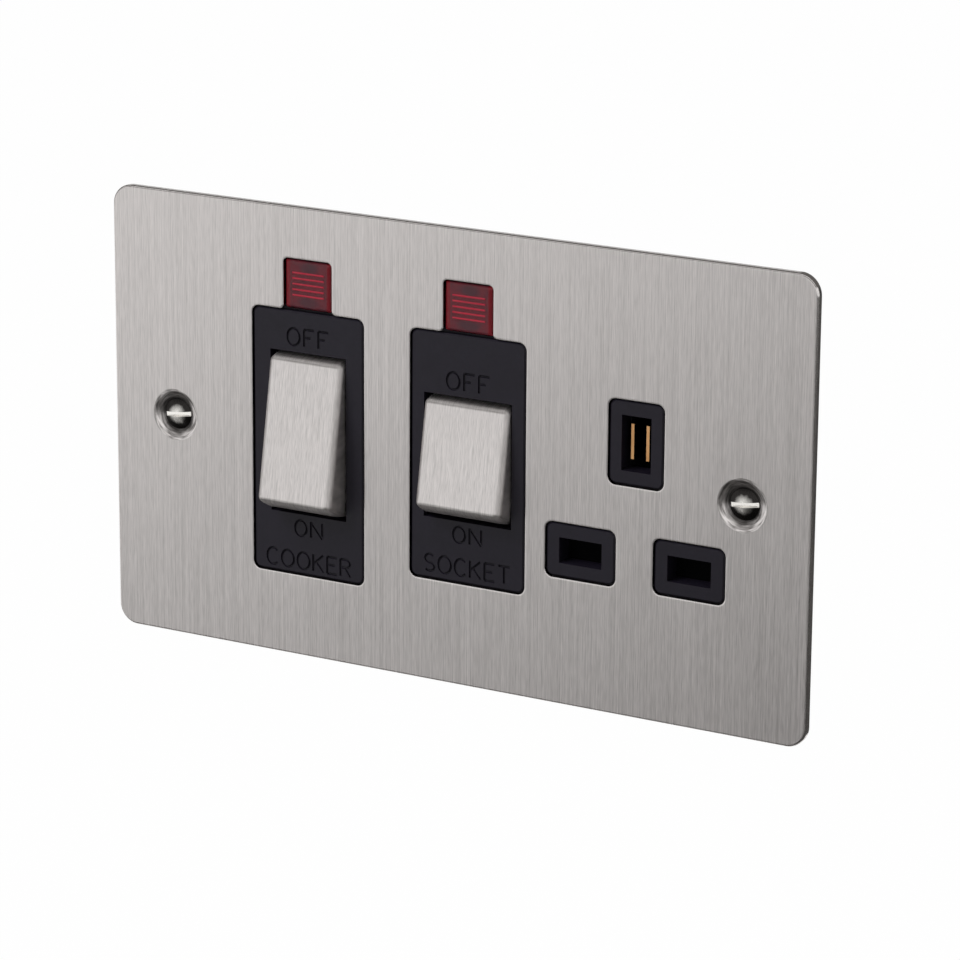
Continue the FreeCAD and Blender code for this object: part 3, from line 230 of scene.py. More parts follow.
@dataclass(frozen=True)
class BrushedSteel(Finish):
    """Satin stainless steel, belt-brushed upwards: fine light and dark streaks and a soft wide glow.

    Real brushing is 0.02 to 0.05 mm wide and turned rings are finer still. Streaks, bands and rings, each
    a width and a length, are drawn as coarse as they need to show.
    """

    light: str = "#E9E4E2"
    dark: str = "#BDB9B7"
    streak: Point = (0.1, 2.8)
    band: Point = (0.13, 40.0)
    through: float = 3.0
    contrast: Span = (0.28, 0.72)
    rough_noise: Span = (0.25, 0.75)
    roughness: Span = (0.30, 0.42)
    edge_facing: Span = (0.96, 0.75)
    edge_roughness: float = 0.16
    relief: float = 0.03
    bump: float = 0.12
    seat_r: float = 0.0
    seat_fade: float = 0.35
    seat_roughness: float = 0.3
    ring: Point = (0.32, 2.4)
    ring_noise: Span = (0.35, 0.65)
    ring_height: float = 3.0
    groove: str = "#868280"
    # Painted shade: the seat's colour darkens towards the screw head, in the hollow round it
    seat_shade_r: Span = (3.0, 4.05)
    seat_shade: str = "#3C3A39"
    seat_shade_share: float = 0.85

    def look(self, tree: NodeTree, surface: Node) -> Inputs:
        """Lay streaks along Z, finish the edges, and turn the screw seats where it has them.

        Args:
            tree: The material's tree.
            surface: Its coordinates node.

        Returns:
            What the shader takes.
        """
        place = surface.outputs["Object"]
        grains = []
        for width, length in (self.streak, self.band):
            scale = tuple(1 / (size * MM) for size in (width, self.through, length))
            stretched = add(tree, "ShaderNodeMapping", {"Vector": place, "Scale": scale})
            grains.append(add(tree, "ShaderNodeTexNoise", {"Vector": stretched, "Scale": 1.0, "Detail": 1.0}))
        grain = add(tree, "ShaderNodeMix", {SHARE: 0.5, VALUE_A: grains[0], VALUE_B: grains[1]})
        share = add(tree, "ShaderNodeMapRange", {
            "Value": grain, "From Min": self.contrast[0], "From Max": self.contrast[1]})
        colour = add(tree, "ShaderNodeMix", {
            SHARE: share, TONE_A: self.dark, TONE_B: self.light}, data_type="RGBA")
        rough = add(tree, "ShaderNodeMapRange", {
            "Value": grain, "From Min": self.rough_noise[0], "From Max": self.rough_noise[1],
            "To Min": self.roughness[0], "To Max": self.roughness[1]})
        facing = add(tree, "ShaderNodeSeparateXYZ", {0: surface.outputs["Normal"]}).outputs["Y"]
        front = add(tree, "ShaderNodeMath", {0: facing}, operation="ABSOLUTE")
        beside = add(tree, "ShaderNodeMapRange", {
            "Value": front, "From Min": self.edge_facing[0], "From Max": self.edge_facing[1]})
        rough = add(tree, "ShaderNodeMix", {SHARE: beside, VALUE_A: rough, VALUE_B: self.edge_roughness})
        height = grain
        if self.seat_r:
            colour, rough, height = self.turn_seats(tree, place, (colour, rough, grain))
        bump = add(tree, "ShaderNodeBump", {
            "Strength": self.bump, "Distance": self.relief * MM, "Height": height})
        return {"Metallic": 1.0, "Base Color": colour, "Roughness": rough, "Normal": bump}

    def turn_seats(self, tree: NodeTree, place: NodeSocket, plain: tuple[Node, ...]) -> tuple[Node, ...]:
        """Turn rings on the dished screw seats and paint shade into their hollows round the heads.

        Args:
            tree: The material's tree.
            place: Its Object coordinates.
            plain: Colour, roughness and height away from the seats.

        Returns:
            Colour, roughness and height all over.
        """
        colour, rough, grain = plain
        axes = add(tree, "ShaderNodeSeparateXYZ", {0: place})
        out, far = from_screw(tree, axes)
        seat = add(tree, "ShaderNodeMapRange", {
            "Value": far, "From Min": self.seat_r * MM, "From Max": (self.seat_r - self.seat_fade) * MM})
        turn = add(tree, "ShaderNodeCombineXYZ", {"X": far, "Y": out, "Z": axes.outputs["Z"]})
        width, length = self.ring
        scale = tuple(1 / (size * MM) for size in (width, length, length))
        turn = add(tree, "ShaderNodeMapping", {"Vector": turn, "Scale": scale})
        noise = add(tree, "ShaderNodeTexNoise", {"Vector": turn, "Scale": 1.0, "Detail": 2.0})
        rings = add(tree, "ShaderNodeMapRange", {
            "Value": noise, "From Min": self.ring_noise[0], "From Max": self.ring_noise[1]})
        ridges = add(tree, "ShaderNodeMath", {0: rings, 1: self.ring_height}, operation="MULTIPLY")
        turned = add(tree, "ShaderNodeMix", {
            SHARE: rings, TONE_A: self.groove, TONE_B: self.light}, data_type="RGBA")
        colour = add(tree, "ShaderNodeMix", {SHARE: seat, TONE_A: colour, TONE_B: turned}, data_type="RGBA")
        # Painted shade in the hollow round each screw head
        seat_shade_mask = add(tree, "ShaderNodeMapRange", {
            "Value": far, "From Min": self.seat_shade_r[0] * MM, "From Max": self.seat_shade_r[1] * MM,
            "To Min": self.seat_shade_share, "To Max": 0.0})
        colour = add(tree, "ShaderNodeMix", {
            SHARE: seat_shade_mask, TONE_A: colour, TONE_B: self.seat_shade}, data_type="RGBA")
        rough = add(tree, "ShaderNodeMix", {SHARE: seat, VALUE_A: rough, VALUE_B: self.seat_roughness})
        height = add(tree, "ShaderNodeMix", {SHARE: seat, VALUE_A: grain, VALUE_B: ridges})
        return colour, rough, height


@dataclass(frozen=True)
class Moulding(Finish):
    """Compression-moulded plastic: faint mottling of the resin and a slightly pebbled, satin skin.

    A speck is the width of one pebble of the skin, and a mottle is several specks wide.
    """

    light: str = "#1B1822"
    dark: str = "#120F17"
    speck: float = 0.5
    mottle: float = 7.0
    roughness: Span = (0.38, 0.5)
    specular: float = 0.3
    relief: float = 0.012
    bump: float = 0.25

    def look(self, tree: NodeTree, surface: Node) -> Inputs:
        """Mottle the colour and pebble the skin.

        Args:
            tree: The material's tree.
            surface: Its coordinates node.

        Returns:
            What the shader takes.
        """
        place = surface.outputs["Object"]
        cloud = add(tree, "ShaderNodeTexNoise", {
            "Vector": place, "Scale": 1 / (self.mottle * self.speck * MM), "Detail": 4.0, "Roughness": 0.6})
        skin = add(tree, "ShaderNodeTexNoise", {
            "Vector": place, "Scale": 1 / (self.speck * MM), "Detail": 2.0})
        colour = add(tree, "ShaderNodeMix", {
            SHARE: cloud, TONE_A: self.dark, TONE_B: self.light}, data_type="RGBA")
        rough = add(tree, "ShaderNodeMapRange", {
            "Value": skin, "From Min": NOISE_BODY[0], "From Max": NOISE_BODY[1],
            "To Min": self.roughness[0], "To Max": self.roughness[1]})
        bump = add(tree, "ShaderNodeBump", {
            "Strength": self.bump, "Distance": self.relief * MM, "Height": skin})
        return {"Base Color": colour, "Roughness": rough, "Normal": bump, "Specular IOR Level": self.specular}


@dataclass(frozen=True)
class WorkedMetal(Finish):
    """Drawn, pressed or plated metal: slightly tarnished in clouds, with fine tool marks along one axis.

    Real tool marks are 0.02 to 0.05 mm wide. These are drawn as coarse as they need to show.
    """

    light: str
    dark: str
    roughness: Span
    cloud: float = 3.0
    marks: Place = (0.25, 0.25, 2.5)
    relief: float = 0.01
    bump: float = 0.1
    flat_shade: str = ""

    def look(self, tree: NodeTree, surface: Node) -> Inputs:
        """Cloud the colour, stretch the tool marks along the worked axis and paint shade on a strip's flats.

        Args:
            tree: The material's tree.
            surface: Its coordinates node.

        Returns:
            What the shader takes.
        """
        place = surface.outputs["Object"]
        cloud = add(tree, "ShaderNodeTexNoise", {
            "Vector": place, "Scale": 1 / (self.cloud * MM), "Detail": 3.0})
        scale = tuple(1 / (size * MM) for size in self.marks)
        stretched = add(tree, "ShaderNodeMapping", {"Vector": place, "Scale": scale})
        lines = add(tree, "ShaderNodeTexNoise", {"Vector": stretched, "Scale": 1.0, "Detail": 2.0})
        colour = add(tree, "ShaderNodeMix", {
            SHARE: cloud, TONE_A: self.dark, TONE_B: self.light}, data_type="RGBA")
        # Painted shade: faces that do not face the front take the dark brown given for a strip's flats
        if self.flat_shade:
            facing = add(tree, "ShaderNodeSeparateXYZ", {0: surface.outputs["Normal"]}).outputs["Y"]
            edge = add(tree, "ShaderNodeMath", {0: facing}, operation="ABSOLUTE")
            colour = add(tree, "ShaderNodeMix", {
                SHARE: edge, TONE_A: self.flat_shade, TONE_B: colour}, data_type="RGBA")
        rough = add(tree, "ShaderNodeMapRange", {
            "Value": lines, "From Min": NOISE_BODY[0], "From Max": NOISE_BODY[1],
            "To Min": self.roughness[0], "To Max": self.roughness[1]})
        bump = add(tree, "ShaderNodeBump", {
            "Strength": self.bump, "Distance": self.relief * MM, "Height": lines})
        return {"Metallic": 1.0, "Base Color": colour, "Roughness": rough, "Normal": bump}


@dataclass(frozen=True)
class ShadedScrewHead(Finish):
    """Plated screw head: kept bright at the crown and in the slot as a painted highlight, darkened towards
    the rim as painted shade.
    """

    bright: str = "#F2EFEA"
    # Painted shade: the colour that the head darkens to towards its rim
    dull: str = "#302E2D"
    cloud: float = 0.6
    ragged: float = 0.8
    rim_shade_r: Span = (0.8, 2.4)
    slot_y: float = -0.9
    roughness: Span = (0.22, 0.34)
    slot_roughness: float = 0.1

    def look(self, tree: NodeTree, surface: Node) -> Inputs:
        """Darken the head away from its axis as painted shade and keep the slot's floor bright as a painted
        highlight.

        Args:
            tree: The material's tree.
            surface: Its coordinates node.

        Returns:
            What the shader takes.
        """
        place = surface.outputs["Object"]
        axes = add(tree, "ShaderNodeSeparateXYZ", {0: place})
        _, far = from_screw(tree, axes)
        cloud = add(tree, "ShaderNodeTexNoise", {
            "Vector": place, "Scale": 1 / (self.cloud * MM), "Detail": 3.0})
        uneven = add(tree, "ShaderNodeMath", {
            0: cloud, 1: self.ragged * MM, 2: far}, operation="MULTIPLY_ADD")
        # Painted shade away from the axis, leaving a painted highlight at the middle of the crown
        rim_shade_share = add(tree, "ShaderNodeMapRange", {
            "Value": uneven, "From Min": self.rim_shade_r[0] * MM, "From Max": self.rim_shade_r[1] * MM})
        crown = add(tree, "ShaderNodeMath", {
            0: axes.outputs["Y"], 1: self.slot_y * MM}, operation="LESS_THAN")
        share = add(tree, "ShaderNodeMath", {0: rim_shade_share, 1: crown}, operation="MULTIPLY")
        colour = add(tree, "ShaderNodeMix", {
            SHARE: share, TONE_A: self.bright, TONE_B: self.dull}, data_type="RGBA")
        rough = add(tree, "ShaderNodeMapRange", {
            "Value": cloud, "To Min": self.roughness[0], "To Max": self.roughness[1]})
        rough = add(tree, "ShaderNodeMix", {SHARE: crown, VALUE_A: self.slot_roughness, VALUE_B: rough})
        return {"Metallic": 1.0, "Base Color": colour, "Roughness": rough}


@dataclass(frozen=True)
class ClearBody(Finish):
    """Polished tinted polycarbonate or glass: a glossy skin that shows what lies behind it."""

    light: str = "#6E1A24"
    dark: str = "#3A0A12"
    flow: float = 2.5
    opacity: float = 0.4
    roughness: float = 0.12
    specular: float = 0.3
    ior: float = 1.58

    def look(self, tree: NodeTree, surface: Node) -> Inputs:
        """Vary the tint a little, as flow lines of the melt do.

        Args:
            tree: The material's tree.
            surface: Its coordinates node.

        Returns:
            What the shader takes.
        """
        flow = add(tree, "ShaderNodeTexNoise", {
            "Vector": surface.outputs["Object"], "Scale": 1 / (self.flow * MM), "Detail": 2.0})
        colour = add(tree, "ShaderNodeMix", {
            SHARE: flow, TONE_A: self.dark, TONE_B: self.light}, data_type="RGBA")
        return {"Base Color": colour, "Roughness": self.roughness, "Specular IOR Level": self.specular,
                "IOR": self.ior, "Alpha": self.opacity}


@dataclass(frozen=True)
class LampDiffuser(Finish):
    """Frosted red polycarbonate behind the lens: maroon, with grey painted shade where the lamp's dark ends
    lie behind it.
    """

    red: str = "#862835"
    grey: str = "#3A343D"
    rim: str = "#8A0F1E"
    rim_x: Span = (3.85, 4.15)
    centres: tuple[Point, Point] = ((COOKER_X, LENS_Z), (SOCKET_X, LENS_Z))
    # Painted shade: grey where the lamp's dark ends lie behind the diffuser
    shade_patch: Point = (2.0, 0.95)
    shade_patch_z: float = 3.3
    shade_patch_fade: Span = (1.4, 0.7)
    cloud: float = 1.2
    roughness: float = 0.5

    def look(self, tree: NodeTree, surface: Node) -> Inputs:
        """Paint soft grey shade above and below the ribs of each lens, and a clearer red at its sides.

        Args:
            tree: The material's tree.
            surface: Its coordinates node.

        Returns:
            What the shader takes.
        """
        place = surface.outputs["Object"]
        middle = (0.0, 0.0, self.shade_patch_z * MM)
        scale = (1 / (self.shade_patch[0] * MM), 0.0, 1 / (self.shade_patch[1] * MM))
        asides = []
        shade_spots = []
        for x, z in self.centres:
            centre = (x * MM, 0.0, z * MM)
            centred = add(tree, "ShaderNodeVectorMath", {0: place, 1: centre}, operation="SUBTRACT")
            folded = add(tree, "ShaderNodeVectorMath", {0: centred}, operation="ABSOLUTE")
            asides.append(add(tree, "ShaderNodeSeparateXYZ", {0: folded}).outputs["X"])
            moved = add(tree, "ShaderNodeVectorMath", {0: folded, 1: middle}, operation="SUBTRACT")
            sized = add(tree, "ShaderNodeVectorMath", {0: moved, 1: scale}, operation="MULTIPLY")
            far = add(tree, "ShaderNodeVectorMath", {0: sized}, operation="LENGTH")
            shade_spots.append(add(tree, "ShaderNodeMapRange", {
                "Value": far, "From Min": self.shade_patch_fade[0], "From Max": self.shade_patch_fade[1]}))
        nearest = add(tree, "ShaderNodeMath", dict(enumerate(asides)), operation="MINIMUM")
        share = add(tree, "ShaderNodeMath", dict(enumerate(shade_spots)), operation="MAXIMUM")
        cloud = add(tree, "ShaderNodeTexNoise", {
            "Vector": place, "Scale": 1 / (self.cloud * MM), "Detail": 2.0})
        red = add(tree, "ShaderNodeMix", {
            SHARE: cloud, TONE_A: self.red, TONE_B: self.grey}, data_type="RGBA")
        colour = add(tree, "ShaderNodeMix", {SHARE: share, TONE_A: red, TONE_B: self.grey}, data_type="RGBA")
        edge = add(tree, "ShaderNodeMapRange", {
            "Value": nearest, "From Min": self.rim_x[0] * MM, "From Max": self.rim_x[1] * MM})
        colour = add(tree, "ShaderNodeMix", {SHARE: edge, TONE_A: colour, TONE_B: self.rim}, data_type="RGBA")
        return {"Base Color": colour, "Roughness": self.roughness}


# The plate's screw seats carry painted shade in the hollow round each head
STEEL_PLATE = BrushedSteel("stainless_steel_brushed_plate", seat_r=5.2)
STEEL_CAP = BrushedSteel("stainless_steel_brushed_cap", streak=(0.1, 1.8), band=(0.12, 5.0),
                         contrast=(0.32, 0.68), edge_roughness=0.52)
# Urea from polished tools: near black with a satin shine; the shutter deep in the pin holes is a duller copy,
# darkened as painted shade
BLACK_UREA = Moulding("urea_black_moulded")
SHADED_UREA = Moulding("urea_black_shutter", light="#060607", dark="#040404",
                     roughness=(0.75, 0.9), specular=0.05)
HOUSING_UREA = Moulding("urea_dark_grey_moulded", light="#2B2B2E", dark="#1E1E20", speck=0.8)
# Foam is matt and porous, nylon milky, and baked lacquer buff and smooth
FOAM = Moulding("foam_rubber_black", light="#1F1F1F", dark="#141414", speck=0.35,
                roughness=(0.85, 0.98), specular=0.2, relief=0.08)
NYLON = Moulding("nylon_white_moulded", light="#DEDCD4", dark="#CFCCC2", specular=0.4)
LACQUER = Moulding("resistor_lacquer", light="#C9B58C", dark="#B39E74", specular=0.5)
# Nickel shines warm, zinc bluer and duller, brass yellow, copper alloy pink, with painted shade on the flats
# of a strip
# The screw heads carry painted shade towards the rim and a painted highlight at the crown and in the slot
SCREW_HEAD = ShadedScrewHead("steel_nickel_plated_painted_shade")
NICKEL = WorkedMetal("steel_nickel_plated", light="#E9E6E1", dark="#CDC9C3", roughness=(0.14, 0.24))
ZINC = WorkedMetal("steel_zinc_plated", light="#D3D6D8", dark="#AEB2B6", roughness=(0.26, 0.4))
BRASS = WorkedMetal("brass_drawn", light="#DDBE7A", dark="#C09A52", roughness=(0.26, 0.33))
COPPER = WorkedMetal("copper_alloy_rolled", light="#F0C08A", dark="#DDA066", roughness=(0.3, 0.42))
STRIP = replace(COPPER, name="copper_alloy_sheared_strip", flat_shade="#3A2414")
SILVER = WorkedMetal("silver_alloy_tip", light="#EDEBE6", dark="#D8D5CF", roughness=(0.3, 0.4))
WIRE = WorkedMetal("spring_steel_drawn", light="#C4C5C7", dark="#9FA1A4", roughness=(0.25, 0.35))
# The lens is a dark red clear skin over a frosted back; its ribs are painted bright red, a painted highlight
# of the light their facets catch
LENS_SKIN = ClearBody("polycarbonate_red_clear")
LENS_BACK = LampDiffuser("polycarbonate_red_frosted")
RIB_HIGHLIGHT = Moulding("polycarbonate_red_ribs_painted_highlight", light="#F03A58", dark="#E02744", speck=0.3,
                     roughness=(0.25, 0.35), specular=0.5)
GLASS = ClearBody("soda_glass", light="#F2E9E4", dark="#E4DAD6", opacity=0.3, roughness=0.03,
                  specular=0.5, ior=1.52)

# Finishes of the solids inside, which keep their shape
INNER_FINISH: dict[Slot, Finish] = {
    Slot.BRASS: BRASS,
    Slot.COPPER: COPPER,
    Slot.SILVER: SILVER,
    Slot.SPRING: WIRE,
    Slot.GLASS: GLASS,
    Slot.RESISTOR: LACQUER,
    Slot.NYLON: NYLON,
}


def new_piece(name: str, data: bpy.types.ID) -> Object:
    """Put a mesh, curve, camera or lamp in the scene, at the origin.

    Args:
        name: Name of the object.
        data: What it holds.

    Returns:
        The object.
    """
    piece = bpy.data.objects.new(name, data)
    bpy.context.scene.collection.objects.link(piece)
    return piece


def settle(piece: Object) -> Object:
    """Turn a piece's modifiers into its own plain mesh.

    Args:
        piece: Object with modifiers.

    Returns:
        The same object, with no modifier left.
    """
    depsgraph = bpy.context.evaluated_depsgraph_get()
    mesh = bpy.data.meshes.new_from_object(
        piece.evaluated_get(depsgraph), preserve_all_data_layers=True, depsgraph=depsgraph)
    piece.modifiers.clear()
    piece.data = mesh
    mesh.name = piece.name
    return piece


def dress(piece: Object, finish: Finish, crease: Crease) -> Object:
    """Give a piece its finish, shade rounds softly and keep flats flat and corners sharp.

    Args:
        piece: Mesh piece.
        finish: What it is made of.
        crease: Which edges stay sharp.

    Returns:
        The same piece.
    """
    piece.data.materials.clear()
    piece.data.materials.append(finish.material())
    work = bmesh.new()
    work.from_mesh(piece.data)
    limit = math.radians(crease.value)
    for face in work.faces:
        face.smooth = True
    for edge in work.edges:
        edge.smooth = edge.is_manifold and edge.calc_face_angle(math.pi) < limit
    work.to_mesh(piece.data)
    work.free()
    modifier = piece.modifiers.new("flat_faces_lead", "WEIGHTED_NORMAL")
    modifier.keep_sharp = True
    return settle(piece)


def level(piece: Object, square: float = 0.99999) -> Object:
    """Shade the faces that lie square to the front as exact flats, so that no thin triangle streaks.

    Args:
        piece: Mesh piece with smooth shading.
        square: Least share of a face's normal along Y.

    Returns:
        The same piece.
    """
    normals = [Vector(corner.vector) for corner in piece.data.corner_normals]
    for face in piece.data.polygons:
        if abs(face.normal.y) > square:
            for corner in face.loop_indices:
                normals[corner] = face.normal.copy()
    piece.data.normals_split_custom_set(normals)
    return piece


def merged_copy(node: str, name: str) -> Object:
    """Copy a CAD node with its loose triangles joined.

    Args:
        node: The CAD node.
        name: Name of the copy.

    Returns:
        The copy, with no material.
    """
    mesh = frame["nodes"][node].data.copy()
    mesh.materials.clear()
    work = bmesh.new()
    work.from_mesh(mesh)
    bmesh.ops.remove_doubles(work, verts=work.verts, dist=MERGE)
    work.to_mesh(mesh)
    work.free()
    return new_piece(name, mesh)


def adopt(piece: Object, body: str, slot: Slot, *nodes: str) -> None:
    """Let a finished piece ride on a body and stand for CAD nodes.

    Args:
        piece: The finished piece.
        body: CAD body that carries it.
        slot: Not used.
        *nodes: CAD nodes that it replaces.
    """
    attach(piece, body)
    if nodes:
        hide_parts(*nodes)
    LOG.info("%s rides on %s, %d faces", piece.name, body, len(piece.data.polygons))


def grow(name: str, points: tuple[Place, ...], tree: NodeTree, sizes: dict[str, Value]) -> Object:
    """Make a plain mesh from a Geometry Nodes tree.

    Args:
        name: Name of the piece.
        points: Points that the tree starts from, in millimetres.
        tree: The tree.
        sizes: Values for the tree's named inputs.

    Returns:
        The piece, with no modifier left.
    """
    base = bpy.data.meshes.new("start_points")
    base.from_pydata([Vector(point) * MM for point in points], [], [])
    piece = new_piece(name, base)
    modifier = piece.modifiers.new("grow", "NODES")
    modifier.node_group = tree
    for socket in tree.interface.items_tree:
        if socket.in_out == "INPUT" and socket.name in sizes:
            modifier[socket.identifier] = sizes[socket.name]
    return settle(piece)


def begin_tree(name: str, inputs: dict[str, str]) -> tuple[NodeTree, dict[str, NodeSocket]]:
    """Start a Geometry Nodes tree with named inputs.

    Args:
        name: Name of the tree.
        inputs: Input name with its kind of socket.

    Returns:
        The tree and its input sockets by name.
    """
    tree = bpy.data.node_groups.new(name, "GeometryNodeTree")
    tree.interface.new_socket("Geometry", in_out="INPUT", socket_type="NodeSocketGeometry")
    tree.interface.new_socket("Geometry", in_out="OUTPUT", socket_type="NodeSocketGeometry")
    for label, kind in inputs.items():
        tree.interface.new_socket(label, in_out="INPUT", socket_type="NodeSocket" + kind)
    start = add(tree, "NodeGroupInput")
    return tree, {socket.name: socket for socket in start.outputs}


def end_tree(tree: NodeTree, points: Node | NodeSocket, shape: Node, finish: NodeSocket) -> None:
    """Close a tree: put the shape on the points, realize it and set its material.

    Args:
        tree: The tree.
        points: What gives the points.
        shape: Node with the shape that repeats.
        finish: Socket with the material.
    """
    placed = add(tree, "GeometryNodeInstanceOnPoints", {"Points": points, "Instance": shape})
    real = add(tree, "GeometryNodeRealizeInstances", {"Geometry": placed})
    dressed = add(tree, "GeometryNodeSetMaterial", {"Geometry": real, "Material": finish})
    add(tree, "NodeGroupOutput", {0: dressed})


def block_mesh(name: str, low: Place, high: Place, bevel: float, steps: int = 3) -> Mesh:
    """Make a box with rounded edges.

    Args:
        name: Name of the mesh.
        low: Lowest corner in millimetres.
        high: Highest corner in millimetres.
        bevel: Edge radius in millimetres, or 0.
        steps: Faces across a rounded edge.

    Returns:
        The mesh.
    """
    work = bmesh.new()
    size = (Vector(high) - Vector(low)) * MM
    middle = (Vector(high) + Vector(low)) / 2 * MM
    fit = Matrix.Translation(middle) @ Matrix.Diagonal((*size, 1))
    bmesh.ops.create_cube(work, size=1.0, matrix=fit)
    if bevel:
        edges = list(work.edges)
        bmesh.ops.bevel(work, geom=edges, offset=bevel * MM, segments=steps, profile=0.5, affect="EDGES")
    bmesh.ops.recalc_face_normals(work, faces=work.faces)
    mesh = bpy.data.meshes.new(name)
    work.to_mesh(mesh)
    work.free()
    return mesh


def carve(piece: Object, tool: Mesh) -> None:
    """Cut a tool's shape out of a piece.

    Args:
        piece: Closed mesh piece.
        tool: Closed mesh to take away, used up here.
    """
    cutter = new_piece("carving_tool", tool)
    modifier = piece.modifiers.new("carve", "BOOLEAN")
    modifier.operation = "DIFFERENCE"
    modifier.solver = "EXACT"
    modifier.use_self = True
    modifier.object = cutter
    settle(piece)
    bpy.data.objects.remove(cutter)


def arc(centre: Point, radii: Point, start: float, end: float, steps: int = 14) -> list[Point]:
    """Give points along part of an ellipse, with its angles in degrees."""
    turns = [math.radians(start + (end - start) * i / steps) for i in range(steps + 1)]
    return [(centre[0] + radii[0] * math.cos(t), centre[1] + radii[1] * math.sin(t)) for t in turns]


def rectangle(low: Point, high: Point) -> tuple[Point, ...]:
    """Give a rectangle's corners, in order round it."""
    return (low, (high[0], low[1]), high, (low[0], high[1]))


# Each letter's width and pen strokes, for a height of 1
LETTERS: dict[str, tuple[float, list[list[Point]]]] = {
    "C": (0.74, [arc((0.4, 0.5), (0.4, 0.5), 45, 315)]),
    "E": (0.64, [[(0, 0), (0, 1)], [(0, 1), (0.64, 1)], [(0, 0.53), (0.5, 0.53)], [(0, 0), (0.64, 0)]]),
    "F": (0.66, [[(0, 0), (0, 1)], [(0, 1), (0.66, 1)], [(0, 0.53), (0.42, 0.53)]]),
    "K": (0.7, [[(0, 0), (0, 1)], [(0.66, 1), (0, 0.42)], [(0.22, 0.6), (0.7, 0)]]),
    "N": (0.8, [[(0, 0), (0, 1)], [(0, 1), (0.8, 0)], [(0.8, 0), (0.8, 1)]]),
    "O": (0.82, [arc((0.41, 0.5), (0.41, 0.5), 0, 360, 24)]),
    "R": (0.68, [[(0, 0), (0, 1)], [(0, 1), (0.38, 1)] + arc((0.38, 0.76), (0.26, 0.24), 90, -90, 8)[1:]
                 + [(0, 0.52)], [(0.32, 0.52), (0.68, 0)]]),
    "S": (0.66, [arc((0.34, 0.75), (0.3, 0.25), 40, 270, 9)
                 + arc((0.32, 0.25), (0.32, 0.25), 90, -140, 9)[1:]]),
    "T": (0.74, [[(0, 1), (0.74, 1)], [(0.37, 1), (0.37, 0)]]),
}


@dataclass
class Word:
    """One engraved word on a pad, with its place in millimetres."""

    text: str
    x: float
    z: float
    height: float = 3.3
    gap: float = 0.95

    def strokes(self) -> list[list[Point]]:
        """Set the word's letters side by side, centred on x and standing on z.

        Returns:
            Its pen strokes in millimetres.
        """
        width = sum(LETTERS[c][0] * self.height for c in self.text) + self.gap * (len(self.text) - 1)
        left = self.x - width / 2
        lines = []
        for letter in self.text:
            wide, strokes = LETTERS[letter]
            for stroke in strokes:
                lines.append([(left + u * self.height, self.z + v * self.height) for u, v in stroke])
            left += wide * self.height + self.gap
        return lines


@dataclass
class PadMoulding:
    """Black pads that fill the plate's openings, with words engraved in two passes of a round pen."""

    face_y: float = -1.75
    pen: float = 0.5
    pen_rounding: int = 2
    sinks: Span = (0.02, 0.17)
    words: tuple[Word, ...] = (
        Word("OFF", COOKER_X, 17.15), Word("ON", COOKER_X, -19.95, 3.1),
        Word("COOKER", COOKER_X, -26.45, gap=0.8),
        Word("OFF", 3.9, 13.25), Word("ON", 3.9, -15.95, 3.1), Word("SOCKET", 3.9, -22.35, gap=0.8),
    )

    def pen_mesh(self) -> Mesh:
        """Run the pen along the strokes of all the words.

        Returns:
            One cutting tool for them all.
        """
        curve = bpy.data.curves.new("pen", "CURVE")
        curve.dimensions = "3D"
        curve.bevel_depth = self.pen / 2 * MM
        curve.bevel_resolution = self.pen_rounding
        curve.use_fill_caps = True
        strokes = [stroke for word in self.words for stroke in word.strokes()]
        for sink in self.sinks:
            for stroke in strokes:
                closed = math.dist(stroke[0], stroke[-1]) < MERGE
                points = stroke[:-1] if closed else stroke
                spline = curve.splines.new("POLY")
                spline.points.add(len(points) - 1)
                spline.use_cyclic_u = closed
                for place, (x, z) in zip(spline.points, points):
                    place.co = (x * MM, (self.face_y + sink) * MM, z * MM, 1.0)
        pen = new_piece("pen", curve)
        mesh = bpy.data.meshes.new_from_object(pen.evaluated_get(bpy.context.evaluated_depsgraph_get()))
        bpy.data.objects.remove(pen)
        return mesh

    def build(self) -> None:
        """Engrave the moulding and dress it."""
        piece = merged_copy("front_moulding", "engraved_pads")
        carve(piece, self.pen_mesh())
        adopt(level(dress(piece, BLACK_UREA, Crease.FORMED)), "unit", Slot.BLACK, "front_moulding")


